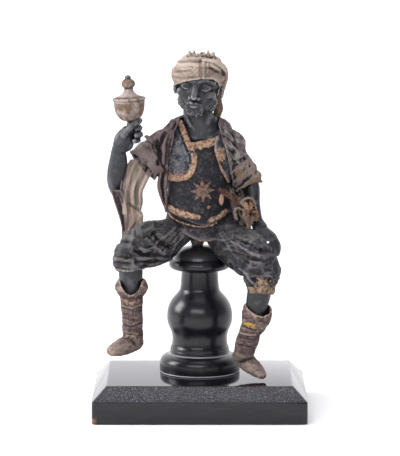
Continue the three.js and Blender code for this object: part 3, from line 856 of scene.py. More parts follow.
def carve_curls(head):
    points = points_of(head)
    x, _, z = points.T
    strands = 1 - 2.4 * np.abs(noise(stirred(points, 1.4, 4, 2) * (1, 1, 0.5), 1.5, 5))
    across = z - 0.7 * np.abs(x) + noise(points, 3, 6)
    combed = ramp(np.abs(x), 6, 10) * np.sin(2.6 * across)
    push(head, beard_mask(points) * (0.5 + 0.65 * strands + 0.35 * combed))
    for side in (-1, 1):
        stroke(head, [(side * 2.2, -23.2, -11.2), (side * 2.8, -21.6, -11.4)], 1.4, -0.9)
    stroke(head, [(-5.2, -19.6, -15.3), (0, -21.2, -15.6), (5.2, -19.6, -15.3)], 0.8, -0.45)


# %% Neck and chest, and the head set on them
def bust():
    line = [(-3, 7, 316), (-3, 6, 300), (-1, 7, 289), (1, 7, 282), (3, 7, 272), (4, 8, 258)]
    wide, deep = [13, 13.4, 15.4, 18.6, 20.6, 19], [12, 12.4, 13.2, 13.8, 14.2, 11]
    neck = tube("neck", line=line, wide=wide, deep=deep, domes=(2, 2))
    cords = [
        rod([(11, 2, 302), (8, -3.4, 286), (4, -4.6, 274)], [3, 3, 2]),
        rod([(-14, 1, 302), (-10, -3.4, 286), (-1, -4.8, 274)], [3, 3, 2]),
        rod([(-15, 0, 276), (-6, -5, 271), (0, -6.4, 270)], [2.2, 2, 1.4]),
        rod([(21, 0, 278), (11, -5, 272), (6, -6.4, 271)], [2.2, 2, 1.4]),
    ]
    return [neck, *cords]


def head():
    face = face_details(head_block())
    carve_curls(face)
    face.data.transform(HEAD_PLACE)
    shoulders = blend("bust", bust(), 0.8, 20)
    piece = blend("carved_head", [face, shoulders], 0.56, 1, 0.3)
    push(piece, noises(points_of(piece), (0.12, 5, 8), (0.05, 1.6, 9)))
    store_wear_and_shade(piece, 0.5)
    hand_over(piece, "carved_head", "head", skin_paint)


head()

# %% [markdown]
# ## The turban
#
# A strip of striped cloth is wound round the head, low in front and higher behind; its
# last turn hangs over at the figure's left ear, and its frayed end stands up on top. The
# windings are flattened rods laid over a rounded base, one skin round all of them, with
# creases drawn in afterwards. The tail that hangs behind the neck is a rod too.

# %% Windings and the frayed end
def winding(line, wide, deep, facing=(0, -1, 0)):
    return tube("winding", 20, 56, line=line, wide=wide, deep=deep, facing=facing, domes=(1, 1))


def around(z, across, along, turns, drop=0, lift=0):
    """A line round the head, starting over the right ear, at -X, and passing in front."""
    angles = np.linspace(turns[0], turns[1], 14)
    return [
        (-0.8 - across * np.cos(a), 3.5 - along * np.sin(a), z - drop * np.sin(a) + lift * a)
        for a in angles
    ]


def frayed_crown():
    spikes = []
    for i in range(16):
        turn = 2 * np.pi * i / 16 + 0.3 * np.sin(3.1 * i)
        reach = 11.6 + 1.4 * np.sin(5 * i)
        x, y = 0.5 + reach * np.sin(turn), 3 - reach * np.cos(turn)
        tall = 4.2 + 1.8 * np.sin(2.3 * i)
        tip = (x * 1.05 + 0.6 * np.sin(7 * i), y, 351.2 + tall)
        spikes.append(rod([(x, y, 345), (x, y, 350), tip], [3.4, 2.5, 0.6], 8, 10))
    return spikes


# %% Turban
def wound():
    """The windings over their rounded base, cut out for the brow and the head."""
    base = [(-1, 8, 314), (-1.2, 5, 324), (-1, 3, 334), (-0.4, 3, 343), (0.5, 3, 350)]
    wide, deep = [20, 23, 25, 21.2, 14.4], [23, 26.5, 27, 23, 15]
    up = (0, 0, 1)
    turned_up = {"facing": (0, -0.92, 0.4), "domes": (0.5, 2.5)}
    hanging_turn = [(2, -17, 347), (13, -17, 345.4), (21, -11, 340), (23.4, -2, 332),
                    (22, 0, 322), (20.4, 1, 314)]
    forms = [
        tube("base", 64, 40, line=base, wide=wide, deep=deep, **turned_up),
        winding(around(333, 24, 24, (-2.2, 4.2), 2.6), [3.4] * 3, [6.6] * 3, up),
        winding(around(326.4, 22.2, 24.4, (-1.5, 3.3), -0.4), [2.8] * 3, [4.8] * 3, up),
        winding(around(342.5, 19, 21.4, (-0.5, 4.8), 1.4, 0.6), [3, 3.4, 3], [4.6] * 3, up),
        winding(hanging_turn, [3, 4.6, 5.2, 4.8, 4.2, 3], [3, 4, 4.2, 3.8, 3.2, 2.4]),
        *frayed_crown(),
    ]
    brow = [(-45, 300), (-45, 319), (-27, 322), (-18, 326.4), (-10, 329), (2, 330.8),
            (13, 330), (18, 326), (20, 318), (20, 300)]
    piece = blend("turban", forms, 0.7, 4)
    tail = rod([(13, 16, 322), (17, 17, 308), (18.2, 17, 297), (16.5, 18, 288)], [5, 4.4, 4.8, 3.2])
    trim(piece, prism(brow, -60, -3))
    trim(piece, prism([(-45, 300), (-45, 320.4), (-17, 323), (-17, 300)], -4, 15))
    trim(piece, ball((-2, 0, 322), (20.6, 20.4, 27)))
    return blend("turban", [piece, tail], 0.6, 2)


def turban():
    piece = wound()
    strokes(piece, [
        ([(-25, 336.6), (-17, 337.6), (-10, 339)], 2.2, -0.5),
        ([(-20, 346), (-10, 348.4), (4, 347.8), (14, 345), (21, 340), (24, 334)], 2.8, -1.6),
        ([(-26, 331), (-16, 331.2), (-4, 332.6)], 2.6, -0.6),
        ([(8, 333.6), (16, 334.6), (22, 331)], 2.6, -0.2),
        ([(-24, 343.4), (-8, 344.2), (8, 343)], 2.6, 0.5),
        ([(-12, 351.8), (2, 352.6), (12, 350.4)], 2.2, -0.8),
    ])
    points = points_of(piece)
    push(piece, 0.2 * noise(points * (0.4, 0.4, 1), 2.6, 31) + 0.2 * noise(points, 1.5, 32))
    x, y, z = points.T
    in_front = (y < -4) * ramp(z, 329, 332) * ramp(z, 349, 347)
    red = 0.85 * (band(x, 0.4, 2.2) + band(x, 9.4, 1))
    store(piece, red=red * in_front, green=band(x, 6, 1.3) * in_front)
    # upper: the crown is painted paler than the band below, as painted top light.
    store(piece, tail=ramp(z, 318, 312) * (y > 8), upper=ramp(z, 336, 342))
    store_wear_and_shade(piece, 0.8)
    hand_over(piece, "wound_turban", "turban", striped_linen())


# %% The turban's cloth
def striped_linen():
    # The upper zone is painted top light: a paler crown over the darker band.
    zones = [("upper", 0x94877D)]
    stuff = aged("turban cloth", 0x7E7169, 0x6C5E55, 0x3A2E26, 0xA89A8E, 0.9, 6, 0.8, 0.2, zones)
    weave = stuff.noise(0.8, 3, (5, 5, 1))
    stuff.layer(0x5A4A40, stuff.spread(weave, 0.55, 0.72, 0, 0.35))
    stuff.bump(weave, 0.25)
    for name, colour in (("red", 0x5C3F36), ("green", 0x4E4C42), ("tail", 0x4A3226)):
        stuff.mark(colour, name, 0.45, 1.15, 0.5)
    return stuff.done()


turban()

# %% [markdown]
# ## Arms, hands and calves
#
# The limbs are carved of the same painted wood. Each is a tube with its muscles in its
# widths; the hand is a palm with one rod to each finger, all blended into one skin. The
# forearm is leaner above the wrist, and the knuckles stand out enough to be rubbed paler
# and to catch a painted highlight.

# %% The raised arm holds the goblet by its stem
def fingers(*lines):
    """One rod to each finger, given as its radii and then its line."""
    return [rod(line, radii, 16, 20) for radii, *line in lines]


def hand_over_limb(piece, node):
    push(piece, noises(points_of(piece), (0.16, 4, 21), (0.05, 1.4, 22)))
    store_wear_and_shade(piece, 0.7, (8, 40))
    hand_over(piece, f"carved_{node}", node, skin_paint)


def right_arm():
    upper = [(-46, 4, 256), (-60, 1, 240), (-74, -1, 225), (-81, -3, 219)]
    lower = [(-82, -4, 219), (-82.4, -6, 228), (-81, -8, 240), (-79.8, -11, 250),
             (-79.4, -14, 259), (-76, -16, 267)]
    back = [(-78, -15.5, 262), (-74.5, -17, 271), (-70, -18, 280)]
    wide, deep = [6.6, 8.8, 9.6, 8.8, 7.2, 8], [7, 8.4, 8.6, 7.6, 6, 6]
    forms = [
        tube("upper", line=upper, wide=[9, 9, 8.6, 7], domes=(3, 5)),
        tube("forearm", line=lower, wide=wide, deep=deep, domes=(5, 3)),
        tube("palm", line=back, wide=[7.8, 8.8, 6], deep=[6, 7, 5.4], domes=(4, 4)),
        ball((-81.5, -3.4, 220), (6.4, 6.6, 5.8)),
        ball((-70.4, -15.6, 265.6), (5.6, 5.4, 7), (0, 0.5, 0)),
        *fingers(
            ([2.6, 2.9, 2.8], (-69, -12, 281.5), (-61.5, -12.6, 282.4), (-58.6, -18, 282.2),
             (-62, -23, 282)),
            ([2.9, 3.1, 3.0], (-70, -12, 275), (-62, -12.8, 276.2), (-58, -18.4, 276),
             (-61.5, -24, 275.8)),
            ([2.8, 2.9, 2.7], (-72, -12, 269), (-63.5, -13, 270.4), (-60, -18, 270.3),
             (-63.5, -23, 270)),
            ([2.7, 2.8, 2.7], (-69.5, -12.5, 285), (-62.5, -12.4, 288.4), (-58.4, -16.6, 289.4)),
            ([3.4, 3.2, 3.5], (-74, -22, 274), (-68.6, -25.6, 282), (-63.6, -25.2, 287),
             (-59.6, -22.4, 289.6)),
        ),
    ]
    arm = blend("arm", forms, 0.7, 3)
    strokes(arm, [
        ([(-75, -24, 273), (-69, -24.4, 279)], 1.8, -0.5),
        ([(-74, -24, 268), (-66.6, -24, 273)], 1.8, -0.5), ([(-86, -8, 252), (-80, -16, 262)], 4, -0.4),
    ])
    hand_over_limb(arm, "right_arm")


# %% The lowered hand lies on the thigh, thumb and fingers making a ring
def left_arm():
    line = [(43.5, 7, 244), (51.5, 2, 222), (53, -3, 207), (55.5, -11, 191), (60, -17, 183)]
    wide, deep = [7, 7.4, 6.5, 6.2, 7], [8, 7.4, 6.5, 5.4, 5]
    palm = [(56.5, -13, 187.4), (60.4, -18, 180.6), (66.6, -24, 175), (71, -28, 170.6)]
    turn = {"facing": (0.35, -0.75, 0.55), "domes": (4, 3)}
    forms = [
        tube("forearm", line=line, wide=wide, deep=deep, domes=(3, 3)),
        tube("palm", line=palm, wide=[6.2, 7.8, 9.2, 8], deep=[5, 5.2, 5, 4], **turn),
        *fingers(
            ([3.2, 3.0, 2.6], (57, -19, 179), (60.5, -27, 172), (66, -33, 163.5)),
            ([3.2, 3.0, 2.7], (67, -29, 171), (69.6, -35, 163.5), (68, -36.5, 158.5)),
            ([3.2, 3.0, 2.7], (70, -28, 172), (73.2, -33.5, 164.5), (71.4, -36, 157)),
            ([3.2, 3.0, 2.7], (73.4, -25, 173.6), (76.8, -30.5, 167), (75.6, -33.5, 160)),
        ),
    ]
    arm = blend("arm", forms, 0.7, 3)
    for x, y, z in ((68, -28, 173), (72.4, -26.4, 174.6)):
        stroke(arm, [(x - 5, y + 6, z + 4), (x, y, z)], 1.8, -0.4)
    ring = {"line": [(65.4, -60, 175.4), (65.4, 20, 163.7)], "facing": (0, 0, 1)}
    trim(arm, tube("ring", 16, 8, wide=[3.3, 3.3], deep=[1.2, 1.2], **ring))
    hand_over_limb(blend("arm", [arm], 0.6, 1), "left_arm")


# %% Calves, seen between breeches and boots
def calf(side, *line):
    piece = blend("calf", [tube("calf", line=line, wide=[11.4, 11.5, 9.9])], 0.8, 2)
    hand_over_limb(piece, f"{side}_calf")


right_arm()
left_arm()
calf("right", (-67.2, -46, 155), (-67.2, -46, 138), (-66.8, -44.5, 121))
calf("left", (60.2, -45, 136), (57.6, -44.8, 120), (54.2, -43.6, 102))

# %% [markdown]
# ## The covered goblet
#
# Goblet and lid are small turnings too, so they are spun like the pedestal: the bowl with
# its inside, and the lid as a bead, a hollow cone, a ball and a button. They lean a
# little outwards, as the hand holds them. A turner's rim is true; this one is chipped,
# so the finished turning is roughened a little.

# %% Worn gilding
def worn_gilding():
    gilt = aged("worn gilding", 0x5C504A, 0x4C403A, 0x2E221A, 0x8A7E78, 0.6, 8, 1.2, 0.12)
    gilt.mottle(0x5E4838, 6, 4, 0.46, 0.58, 0.9)
    gilt.mark(0x92847E, "pale", 0.3, 1.1, 0.4, gilt.clouds)
    gilt.mottle(0x4A3424, 2.4, 4, 0.6, 0.72, 0.7)
    return gilt.done()


gilt_wood = worn_gilding()
print("finish:", gilt_wood.name)

# %% Goblet and lid
GOBLET_AT = Matrix.Translation(Vector((-67.6, -19.5, 283)) * MM) @ Matrix.Rotation(-0.05, 4, "Y")


def rough_turning(node, profile):
    piece = turned(node, profile, 64, GOBLET_AT)
    modify(piece, "SUBSURF", levels=1, subdivision_type="SIMPLE")
    push(piece, noises(points_of(piece), (0.2, 3.4, 11), (0.1, 1.3, 12)))
    store_wear_and_shade(piece, 0.4)
    foot = np.array(GOBLET_AT.inverted() @ Vector(), dtype=float) / MM
    height = (points_of(piece) @ np.array(GOBLET_AT.to_3x3()) + foot)[:, 2]
    lid_cone = ramp(height, 29.5, 31) * ramp(height, 38.5, 37)
    store(piece, pale=lid_cone)
    hand_over(piece, f"gilt_{node}", node, gilt_wood)


rough_turning("goblet", drawn(
    (0, -5.5), (2.6, -5.5), (2.7, -4.5), (2.3, 0), (2.3, 4), (2.8, 5.4), (4.2, 6.4),
    [16, (10.6, 7.4), (14.9, 13), (15.2, 24.4)],
    (15.3, 25.3), (15.1, 26.1), (14.6, 26.3), (13.6, 26.1),
    [14, (12.8, 16), (8, 11.5), (0, 11.2)],
))
rough_turning("goblet_lid", drawn(
    (0, 26.5), (14.8, 26.5), (15.6, 26.8), (16.1, 27.5), (16.1, 28.2), (15.7, 29),
    (14.8, 29.4), (13.9, 29.5),
    [14, (8.6, 31.6), (5.6, 33), (4.2, 37.2)],
    (4.5, 37.7), (4.6, 38.3), (4.0, 38.9),
    [14, (7.9, 40.4), (7.9, 46), (2.6, 47.8)],
    [8, (3.6, 49), (2.6, 51.2), (0, 51.2)],
))

# %% [markdown]
# ## Breeches
#
# Wide knee breeches of dark glued cloth, bagged over the knees and gathered below. Thighs
# and knees are tubes, the hips are balls, and all are blended together. Gathers are waves
# round each leg with folded noise over them, and the few big folds that the eye picks out
# are drawn one by one.

# %% Breeches
def gathers(share, angle):
    return share * (1.3 * np.sin(3 * angle + 9 * share) + 0.6 * np.sin(5 * angle))


def leg(thigh, knee):
    """Thigh and knee, each given as its line, half widths and half depths."""
    made = []
    for form, along, facing, domes in (
        (thigh, 48, (0, 0, 1), (4, 4)),
        (knee, 40, (0, -1, 0), (5, 0.5)),
    ):
        parts = dict(zip(("line", "wide", "deep"), form))
        made.append(tube("leg", 48, along, **parts, facing=facing, domes=domes, folds=gathers))
    return made


def bagged_legs():
    right = leg(
        ([(-12, 14, 182), (-20, 5, 178.6), (-33, -9, 172), (-52, -28, 168), (-66, -43, 163)],
         [17, 18, 18.5, 18, 15], [11, 12.6, 19, 22.5, 17]),
        ([(-68.5, -43, 168), (-68.5, -46, 157), (-67, -47, 146)], [13, 16, 12.8], [12, 14, 12.6]),
    )
    left = leg(
        ([(12, 14, 182), (19, 5.5, 177.4), (31, -9, 168), (47, -26, 158.5), (60, -40, 153)],
         [17, 18, 18.5, 18, 15.5], [11, 13, 19.6, 23.5, 18]),
        ([(61, -41, 158), (60.5, -45, 143), (58.6, -46, 124)], [14, 18, 12.4], [12, 14.5, 12.6]),
    )
    hips = [ball((0, 15, 182), (30, 21, 14)), ball((-2.6, 12, 170), (7, 12, 10.6))]
    return blend("breeches", [*hips, *right, *left], 0.9, 8)


def breeches():
    piece = bagged_legs()
    strokes(piece, [
        ([(-65, 159.5), (-47, 158.6), (-25, 152.8)], 3.0, 1.2),
        ([(-83, 158.6), (-62, 156.6), (-49, 151.8), (-28, 151.6)], 2.6, 1.0),
        ([(-62, 156), (-48, 154), (-36, 152)], 2.4, -1.4),
        ([(-44, 181), (-38, 172), (-30, 166)], 4.0, -2.6),
        ([(-62, 167), (-54, 162), (-44, 160)], 4.5, -2.2),
        ([(-52, 176), (-44, 168), (-34, 160)], 3.0, 1.4), ([(-66, 176), (-52, 172)], 5.0, 1.0),
        ([(-72, 152), (-58, 153)], 5.0, 1.2), ([(34, 176), (46, 172), (60, 166)], 2.6, -1.2),
        ([(32, 172), (44, 166), (58, 160)], 2.2, 1.1), ([(36, 162), (50, 158), (62, 156)], 2.6, -1.2),
        ([(40, 147), (47, 143)], 1.8, 1.0), ([(47, 141), (55, 132)], 1.8, 1.0),
        ([(30, 150), (36, 138), (46, 126)], 3.0, -1.0), ([(64, 144), (72, 140)], 4.0, 0.8),
        ([(-24, 184), (-42, 172)], 2.0, 0.9), ([(-20, 180), (-36, 164)], 2.0, -1.0),
        ([(-17, 176), (-30, 158)], 2.0, 0.9), ([(24, 182), (38, 168)], 2.0, -0.6),
        ([(20, 178), (34, 160), (46, 152)], 2.0, 0.6), ([(67, 139), (71, 131)], 3.4, -2.4),
    ])
    points = points_of(piece)
    bag = stirred(points, 5, 13, 41)
    folds, wrinkles = crests(bag * (0.55, 0.7, 1), 6.5, 44), crests(bag * (0.6, 0.7, 1), 3.2, 46)
    push(piece, 0.75 * folds + 0.28 * wrinkles + 0.12 * noise(points, 1.7, 45))
    x, y, z = points_of(piece).T
    left_hem = band(z, 126.5, 4.2) * (x > 0) * (y < -36)
    knee_patch = 0.8 * np.exp(-((np.hypot(x - 61, z - 135) / 8) ** 2)) * (y < -48)
    right_hem = np.exp(-(((z - 147.4) / 0.9) ** 2)) * (x < -40)
    store(piece, braid=left_hem + knee_patch, pale=right_hem)
    # Painted highlight on the ridges over the tops of the thighs and the hips.
    store(piece, bleached=ramp(z, 158, 172) * ramp(y, 10, -10))
    store_wear_and_shade(piece, 0.8, (4, 50))
    hand_over(piece, "baggy_breeches", "breeches", glued_cloth())


# %% The breeches' cloth
def glued_cloth():
    stuff = aged("breeches cloth", 0x2B2B31, 0x1E1E22, 0x09090B, 0x625F62, 0.7, 10, 0.8, 0.12)
    stuff.mottle(0x403630, 13, 4, 0.54, 0.7, 0.5)
    ridges = stuff.spread(stuff.stored("proud"), 0.3, 0.8)
    # Painted highlight: ridges paler on top of the thighs.
    bleached = stuff.patchy(stuff.stored("bleached"), stuff.clouds, 0.5, 1.5, 0.6)
    stuff.layer(0x5A5957, ridges, bleached)
    stuff.mottle(0x625846, 3.4, 5, 0.6, 0.72, 0.6)
    stuff.mottle(0x141418, 2.2, 5, 0.58, 0.7, 0.7, (2, 2, 1))
    gilded(stuff, "braid", 0x86725E, 0x54443A)
    gilded(stuff, "pale", 0x8A8078, 0x5E544A)
    return stuff.done()


breeches()

# %% [markdown]
# ## Boots
#
# Soft boots of thin suede: a turned-down cuff that opens in a V in front, a gold braid
# round the shaft under it, creases where the leather has sunk, and a plain soft foot with
# a band over the instep. The cuff is a second, wider tube round the top of the shaft.

# %% Suede
def worn_suede():
    zones = [("foot", 0x6C605D)]
    suede = aged("worn suede", 0x57484A, 0x463A3A, 0x2C2425, 0x8A7A70, 0.85, 7, 0.8, 0.16, zones)
    suede.mottle(0x9A8C80, 1.4, 4, 0.62, 0.74)
    suede.mottle(0x362B2A, 3, 4, 0.53, 0.66, 0.7)
    suede.mottle(0x6A4838, 6, 3, 0.58, 0.7, 0.6)
    gilded(suede, "braid", 0x8E7E6C, 0x66544A, 0.55, 1.0, 0.5)
    gilded(suede, "yellow", 0xB8964A, 0x8A6A3C, 0.3, 0.7)
    return suede.done()


boot_suede = worn_suede()
print("finish:", boot_suede.name)


# %% One boot
def sunken(share, angle):
    return 0.32 * np.sin(26 * share + 2.4 * np.sin(angle + 5 * share)) * (share > 0.35)


def boot(node, shaft, cuff, foot, opening, creases, braids):
    """Shaft, cuff and foot are tubes, each given as its line and its sizes."""
    x, y, z = shaft[0][0]
    forms = [
        tube("shaft", 40, 60, line=shaft[0], wide=shaft[1], domes=(0.5, 4), folds=sunken),
        tube("cuff", 40, 30, line=cuff[0], wide=cuff[1], domes=(1.5, 1.5)),
        tube("foot", 32, 40, line=foot[0], wide=foot[1], deep=foot[2], facing=(0, 0, 1), domes=(6, 4)),
    ]
    piece = blend("boot", forms, 0.75, 2)
    trim(piece, prism(opening, -80, -45))
    trim(piece, rod([(x, y, z - 10), (x, y, z + 14)], 11.9))
    piece = blend("boot", [piece], 0.68, 1)
    strokes(piece, creases)
    points = points_of(piece)
    creased = crests(points * (0.6, 0.6, 1.6), 5, 53)
    push(piece, 0.3 * creased + noises(points, (0.2, 3, 51), (0.14, 1.3, 52)))
    near = [1 - distance_to_path(points[:, [0, 2]], path) / (2 * width) for path, width in braids]
    store(piece, braid=np.clip(np.max(near, axis=0), 0, 1) * (points[:, 1] < y + 4))
    store(piece, yellow=near_spot(points, 48.5, 93.4, 6.6, 2.3) * (points[:, 1] < -46))
    ankle = foot[0][0][2] + 3
    store(piece, foot=ramp(points[:, 2], ankle + 8, ankle))
    store_wear_and_shade(piece, 0.6)
    hand_over(piece, f"soft_{node}", node, boot_suede)


# %% Both boots
boot(
    "right_boot",
    ([(-66.6, -46, 137), (-66.6, -45.5, 129), (-66.6, -45, 119), (-66.3, -43.5, 107),
      (-65.8, -42, 93), (-65.5, -39, 80), (-65, -37, 71)],
     [12.6, 12.8, 11.2, 10.4, 10.1, 10, 9.4]),
    ([(-66.6, -46, 136), (-66.6, -45.6, 129), (-66.6, -45.2, 122)], [13.8, 16.2, 13]),
    ([(-62, -31, 72.5), (-70, -41, 71.4), (-80, -51, 69), (-86, -56, 67.6)],
     [7.8, 9.2, 8.8, 6.6], [8, 9, 7.4, 5]),
    [(-79, 142), (-76, 131), (-72, 125.5), (-67, 123), (-61, 126), (-57, 133), (-55, 142)],
    [([(-78, 93), (-66, 91), (-56, 94)], 1.6, -0.5), ([(-78, 100), (-64, 98)], 1.8, -0.4),
     ([(-78, 112), (-66, 110), (-56, 113)], 2.0, 0.6), ([(-76, 86), (-62, 84)], 1.8, 0.4)],
    [([(-79, 118.6), (-70, 115.6), (-60, 115.8)], 2.6), ([(-76, 81.4), (-64, 80.6)], 2.2)],
)
boot(
    "left_boot",
    ([(56.6, -44.6, 110), (55.6, -44.2, 101), (53.4, -43.6, 92.5), (49.8, -42, 85),
      (46.6, -38, 74), (43.6, -34, 63), (42, -30, 56)],
     [12.6, 12.8, 12, 10.6, 10.8, 10, 8.6]),
    ([(56.8, -44.8, 111), (55.8, -44.4, 102), (54.2, -44, 93)], [13.2, 14.8, 13.2]),
    ([(38.5, -23, 57), (45, -31, 53.4), (54, -39.5, 47), (61, -45, 41.6)],
     [7.4, 8.8, 8.6, 6.2], [7.2, 8.6, 7.2, 4.2]),
    [(42, 116), (48, 108), (54, 104), (62, 101.4), (68, 104), (72, 116)],
    [([(42, 92), (54, 88), (66, 91)], 1.8, -0.7), ([(40, 80), (52, 78), (62, 82)], 1.8, -0.6),
     ([(38, 72), (50, 70), (60, 74)], 1.8, -0.5), ([(40, 84), (54, 83)], 2.0, 0.8)],
    [([(41, 97), (48, 92.6), (56, 89.6), (66, 90)], 2.2), ([(50, 60), (56, 56)], 1.2)],
)

# %% [markdown]
# ## The clothes on the trunk
#
# Bodice, waistcoat and coat lie over each other at even distances from the same trunk, so
# one form serves them all: it is grown by each garment's distance and cut to the
# garment's outline. The bodice is stiff painted leather with a star and gilt trimmings.
# They are thin relief and worn gold, kept in masks drawn as lines and areas on the front.

# %% The trunk, and garments cut from it
TRUNK = {
    "line": [(0, 7, 167), (0, 6, 186), (-2, 3, 203), (-1.5, 3, 222), (-1, 5, 245),
             (-0.5, 9, 264), (0, 11, 279)],
    "wide": [34, 35.5, 30, 28.6, 30, 32.5, 25],
    "deep": [29, 28, 23.8, 21.6, 20.6, 18, 12.5],
}
BODICE_OUT, VEST_IN, VEST_OUT, COAT_IN, COAT_OUT = 1.4, 1.9, 3.6, 4.2, 6.6  # from the trunk


def trunk(grow=0, **more):
    return tube("trunk", 120, 100, **TRUNK, domes=(0.5, 8 + grow), grow=grow, **more)


def garment(outer, inner, shape):
    """The shell between two trunks, as far as it lies inside some prisms."""
    trim(outer, inner)
    return trim(outer, blend("shape", shape, 1.2), "INTERSECT")


def flowing(points, steps=5):
    """A smooth line through the points of an outline."""
    return [tuple(p) for p in through(points, np.linspace(0, 1, steps * (len(points) - 1) + 1))]


def star(points, x, z, reach, turn=0.06, tips=8):
    """1 inside a star of slender tips, drawn on the front."""
    across, up = points[:, 0] - x, points[:, 2] - z
    angle = np.arctan2(up, across) - turn
    fold = np.abs((angle + np.pi / tips) % (2 * np.pi / tips) - np.pi / tips)
    inner = 0.44 * reach  # how far out the notches between the tips lie
    notch = inner * np.cos(np.pi / tips), inner * np.sin(np.pi / tips)
    far = np.hypot(across, up)
    side = (far * np.cos(fold) - reach) * notch[1] + far * np.sin(fold) * (reach - notch[0])
    return ramp(side, 2, -2) * (points[:, 1] < FRONT)


# %% Bodice
HEM = [(-35, 188.5), (-22, 181), (-9, 174.5), (4, 170.4), (19, 173.4), (30, 183)]


def skirt_and_bodice():
    scoop = [(-22, 286), (-10.5, 267.4), (4, 269), (19, 274), (24, 286)]
    waist = [(-33, 201), (-20, 194), (-4, 188), (8, 186.6), (18, 191), (26, 197)]
    made = []
    for piece, edge, left_end, right_end in (
        (trunk(), HEM, 188, 184),
        (trunk(BODICE_OUT), waist, 202, 202),
    ):
        below = [(-60, left_end), *flowing(edge), (60, right_end), (60, 150), (-60, 150)]
        trim(piece, prism(below, -60, 60))
        trim(piece, prism([(-60, 320), *flowing(scoop), (60, 320)], -60, 13))
        made.append(piece)
    return blend("tunic", made, 0.85, 1)


def tunic():
    piece = skirt_and_bodice()
    points = points_of(piece)
    emblem = star(points, 2.8, 220.2, 12.4)
    scallops = 5.4 + 1.2 * np.sin(0.85 * points[:, 0])
    brink = [(-30, 196), (-23.4, 190.7), (-4.8, 185.6), (9.9, 185.8), (18, 190), (26, 197)]
    gold = trimmings(
        points,
        (1, [(-9, 264), (4, 265.2), (12, 267), (20, 269.6)], scallops),
        (1, [(-29.6, 202), (-19.4, 198), (-2.4, 195)], 3.8),
        (0.7, [(10, 191.4), (18, 194.4), (25, 199)], 3.4),
        (0.62, flowing(brink), 1.4),
        (0.54, flowing(HEM), 1.7),
        spots=[near_spot(points, 21.4, 211, 2.4, 6), near_spot(points, 8.6, 204, 1.6, 1.8)],
    )
    push(piece, 0.4 * emblem + 0.45 * gold + noises(points, (0.3, 9, 61), (0.1, 2, 62)))
    store(piece, gold=gold, star=emblem, pink=near_spot(points, 21.4, 211, 2.2, 5.8))
    store_wear_and_shade(piece, 0.5)
    leather = aged("painted leather", 0x1B1C23, 0x121319, 0x060608, 0x58565A, 0.55, 7, 0.9, 0.1)
    leather.mottle(0x3C2C28, 6, 5, 0.58, 0.7, 0.8)
    leather.mottle(0x6A6468, 2.4, 5, 0.66, 0.76, 0.5)
    gilded(leather, "star", 0x70584E, 0x4C3A34, 0.3, 0.7, 0.5)
    gilded(leather, "gold")
    leather.mark(0xB28C7A, "pink", 0.35, 0.7, grains=leather.noise(2, 3))
    hand_over(piece, "leather_tunic", "tunic", leather.done())


tunic()


# %% Waistcoat
def open_waistcoat():
    right = [(-60, 228), (-29.6, 228.6), (-18, 229.4), (-10.6, 232), (-5.4, 238), (-3, 247),
             (-2.6, 256), (-5.4, 260), (-16.6, 286), (-24, 300), (-60, 300)]
    left = [(60, 226), (28.2, 226), (20, 242), (14.6, 259.6), (15, 268), (24, 286), (60, 300)]
    back = [(-60, 226), (60, 226), (60, 284), (-60, 284)]
    shape = [prism(right, -60, 6), prism(left, -60, 6), prism(back, 5, 60)]
    piece = garment(trunk(VEST_OUT), trunk(VEST_IN), shape)
    trim(piece, ball((2, 6, 286), (17, 14.5, 22)))
    return blend("vest", [piece], 0.8, 1)


def vest():
    piece = open_waistcoat()
    points = points_of(piece)
    seam = trimmings(
        points,
        (1, [(-23.6, 286), (-12, 259), (-4, 258)], 1.5),
        (1, [(-10, 257), (-9.4, 250), (-12, 242)], 1.2),
    )
    gold = (1 - seam) * trimmings(
        points,
        (1, [(-20, 287), (-9, 262)], 4.4),
        (1, [(-5, 257.6), (-4.6, 250), (-6.6, 241), (-10, 236), (-14, 233)], 3.6),
        (0.6, [(-14, 233), (-20, 232), (-30, 231.4)], 3),
        (0.8, [(14.6, 262), (18.4, 246.5), (25.4, 231), (28.6, 227)], 2.4),
        spots=[0.66 * near_spot(points, 21, 255, 4.8, 8)],
    )
    store(piece, gold=gold, russet=ramp(points[:, 2], 244, 234) * (points[:, 0] < 0))
    push(piece, 0.4 * gold - 0.6 * seam + noises(points, (0.25, 7, 63), (0.1, 1.8, 64)))
    store_wear_and_shade(piece, 0.5)
    leather = aged("waistcoat leather", 0x3C424B, 0x2A2D35, 0x0A0A0D, 0x86807C, 0.6, 6, 0.9, 0.12)
    leather.mottle(0x131318, 8, 5, 0.5, 0.6, 0.8)
    leather.mottle(0x7A7876, 2.8, 5, 0.55, 0.7, 0.6)
    leather.mark(0x6E5048, "russet", 0.5, 0.9, 0.6, leather.noise(2.4, 4))
    flecks = leather.spread(leather.noise(1.7, 4), 0.56, 0.68)
    leather.layer(0x97806E, leather.stored("russet"), flecks)
    gilded(leather, "gold")
    hand_over(piece, "leather_waistcoat", "vest", leather.done())


vest()

# %% [markdown]
# ## The coat
#
# A short coat hangs open from the shoulders. Its sleeve on the raised arm is wide, with
# a deep turned-back cuff; the other is crumpled and turned up over the elbow. A slit
# hanging sleeve is thrown over the raised arm: its striped lining faces forwards, and
# its end is twisted. Mantle, sleeves and hanging cloth have the thickness of glued cloth
# and are blended where they touch, as the glue did.

# %% Mantle and sleeves
def sleeve(around, along, **form):
    piece = sheet("sleeve", around, along, lambda u, v: tube_points(form, u, v))
    return thicken(edit(piece, merge_doubles, face_outwards), 1.9, -1)


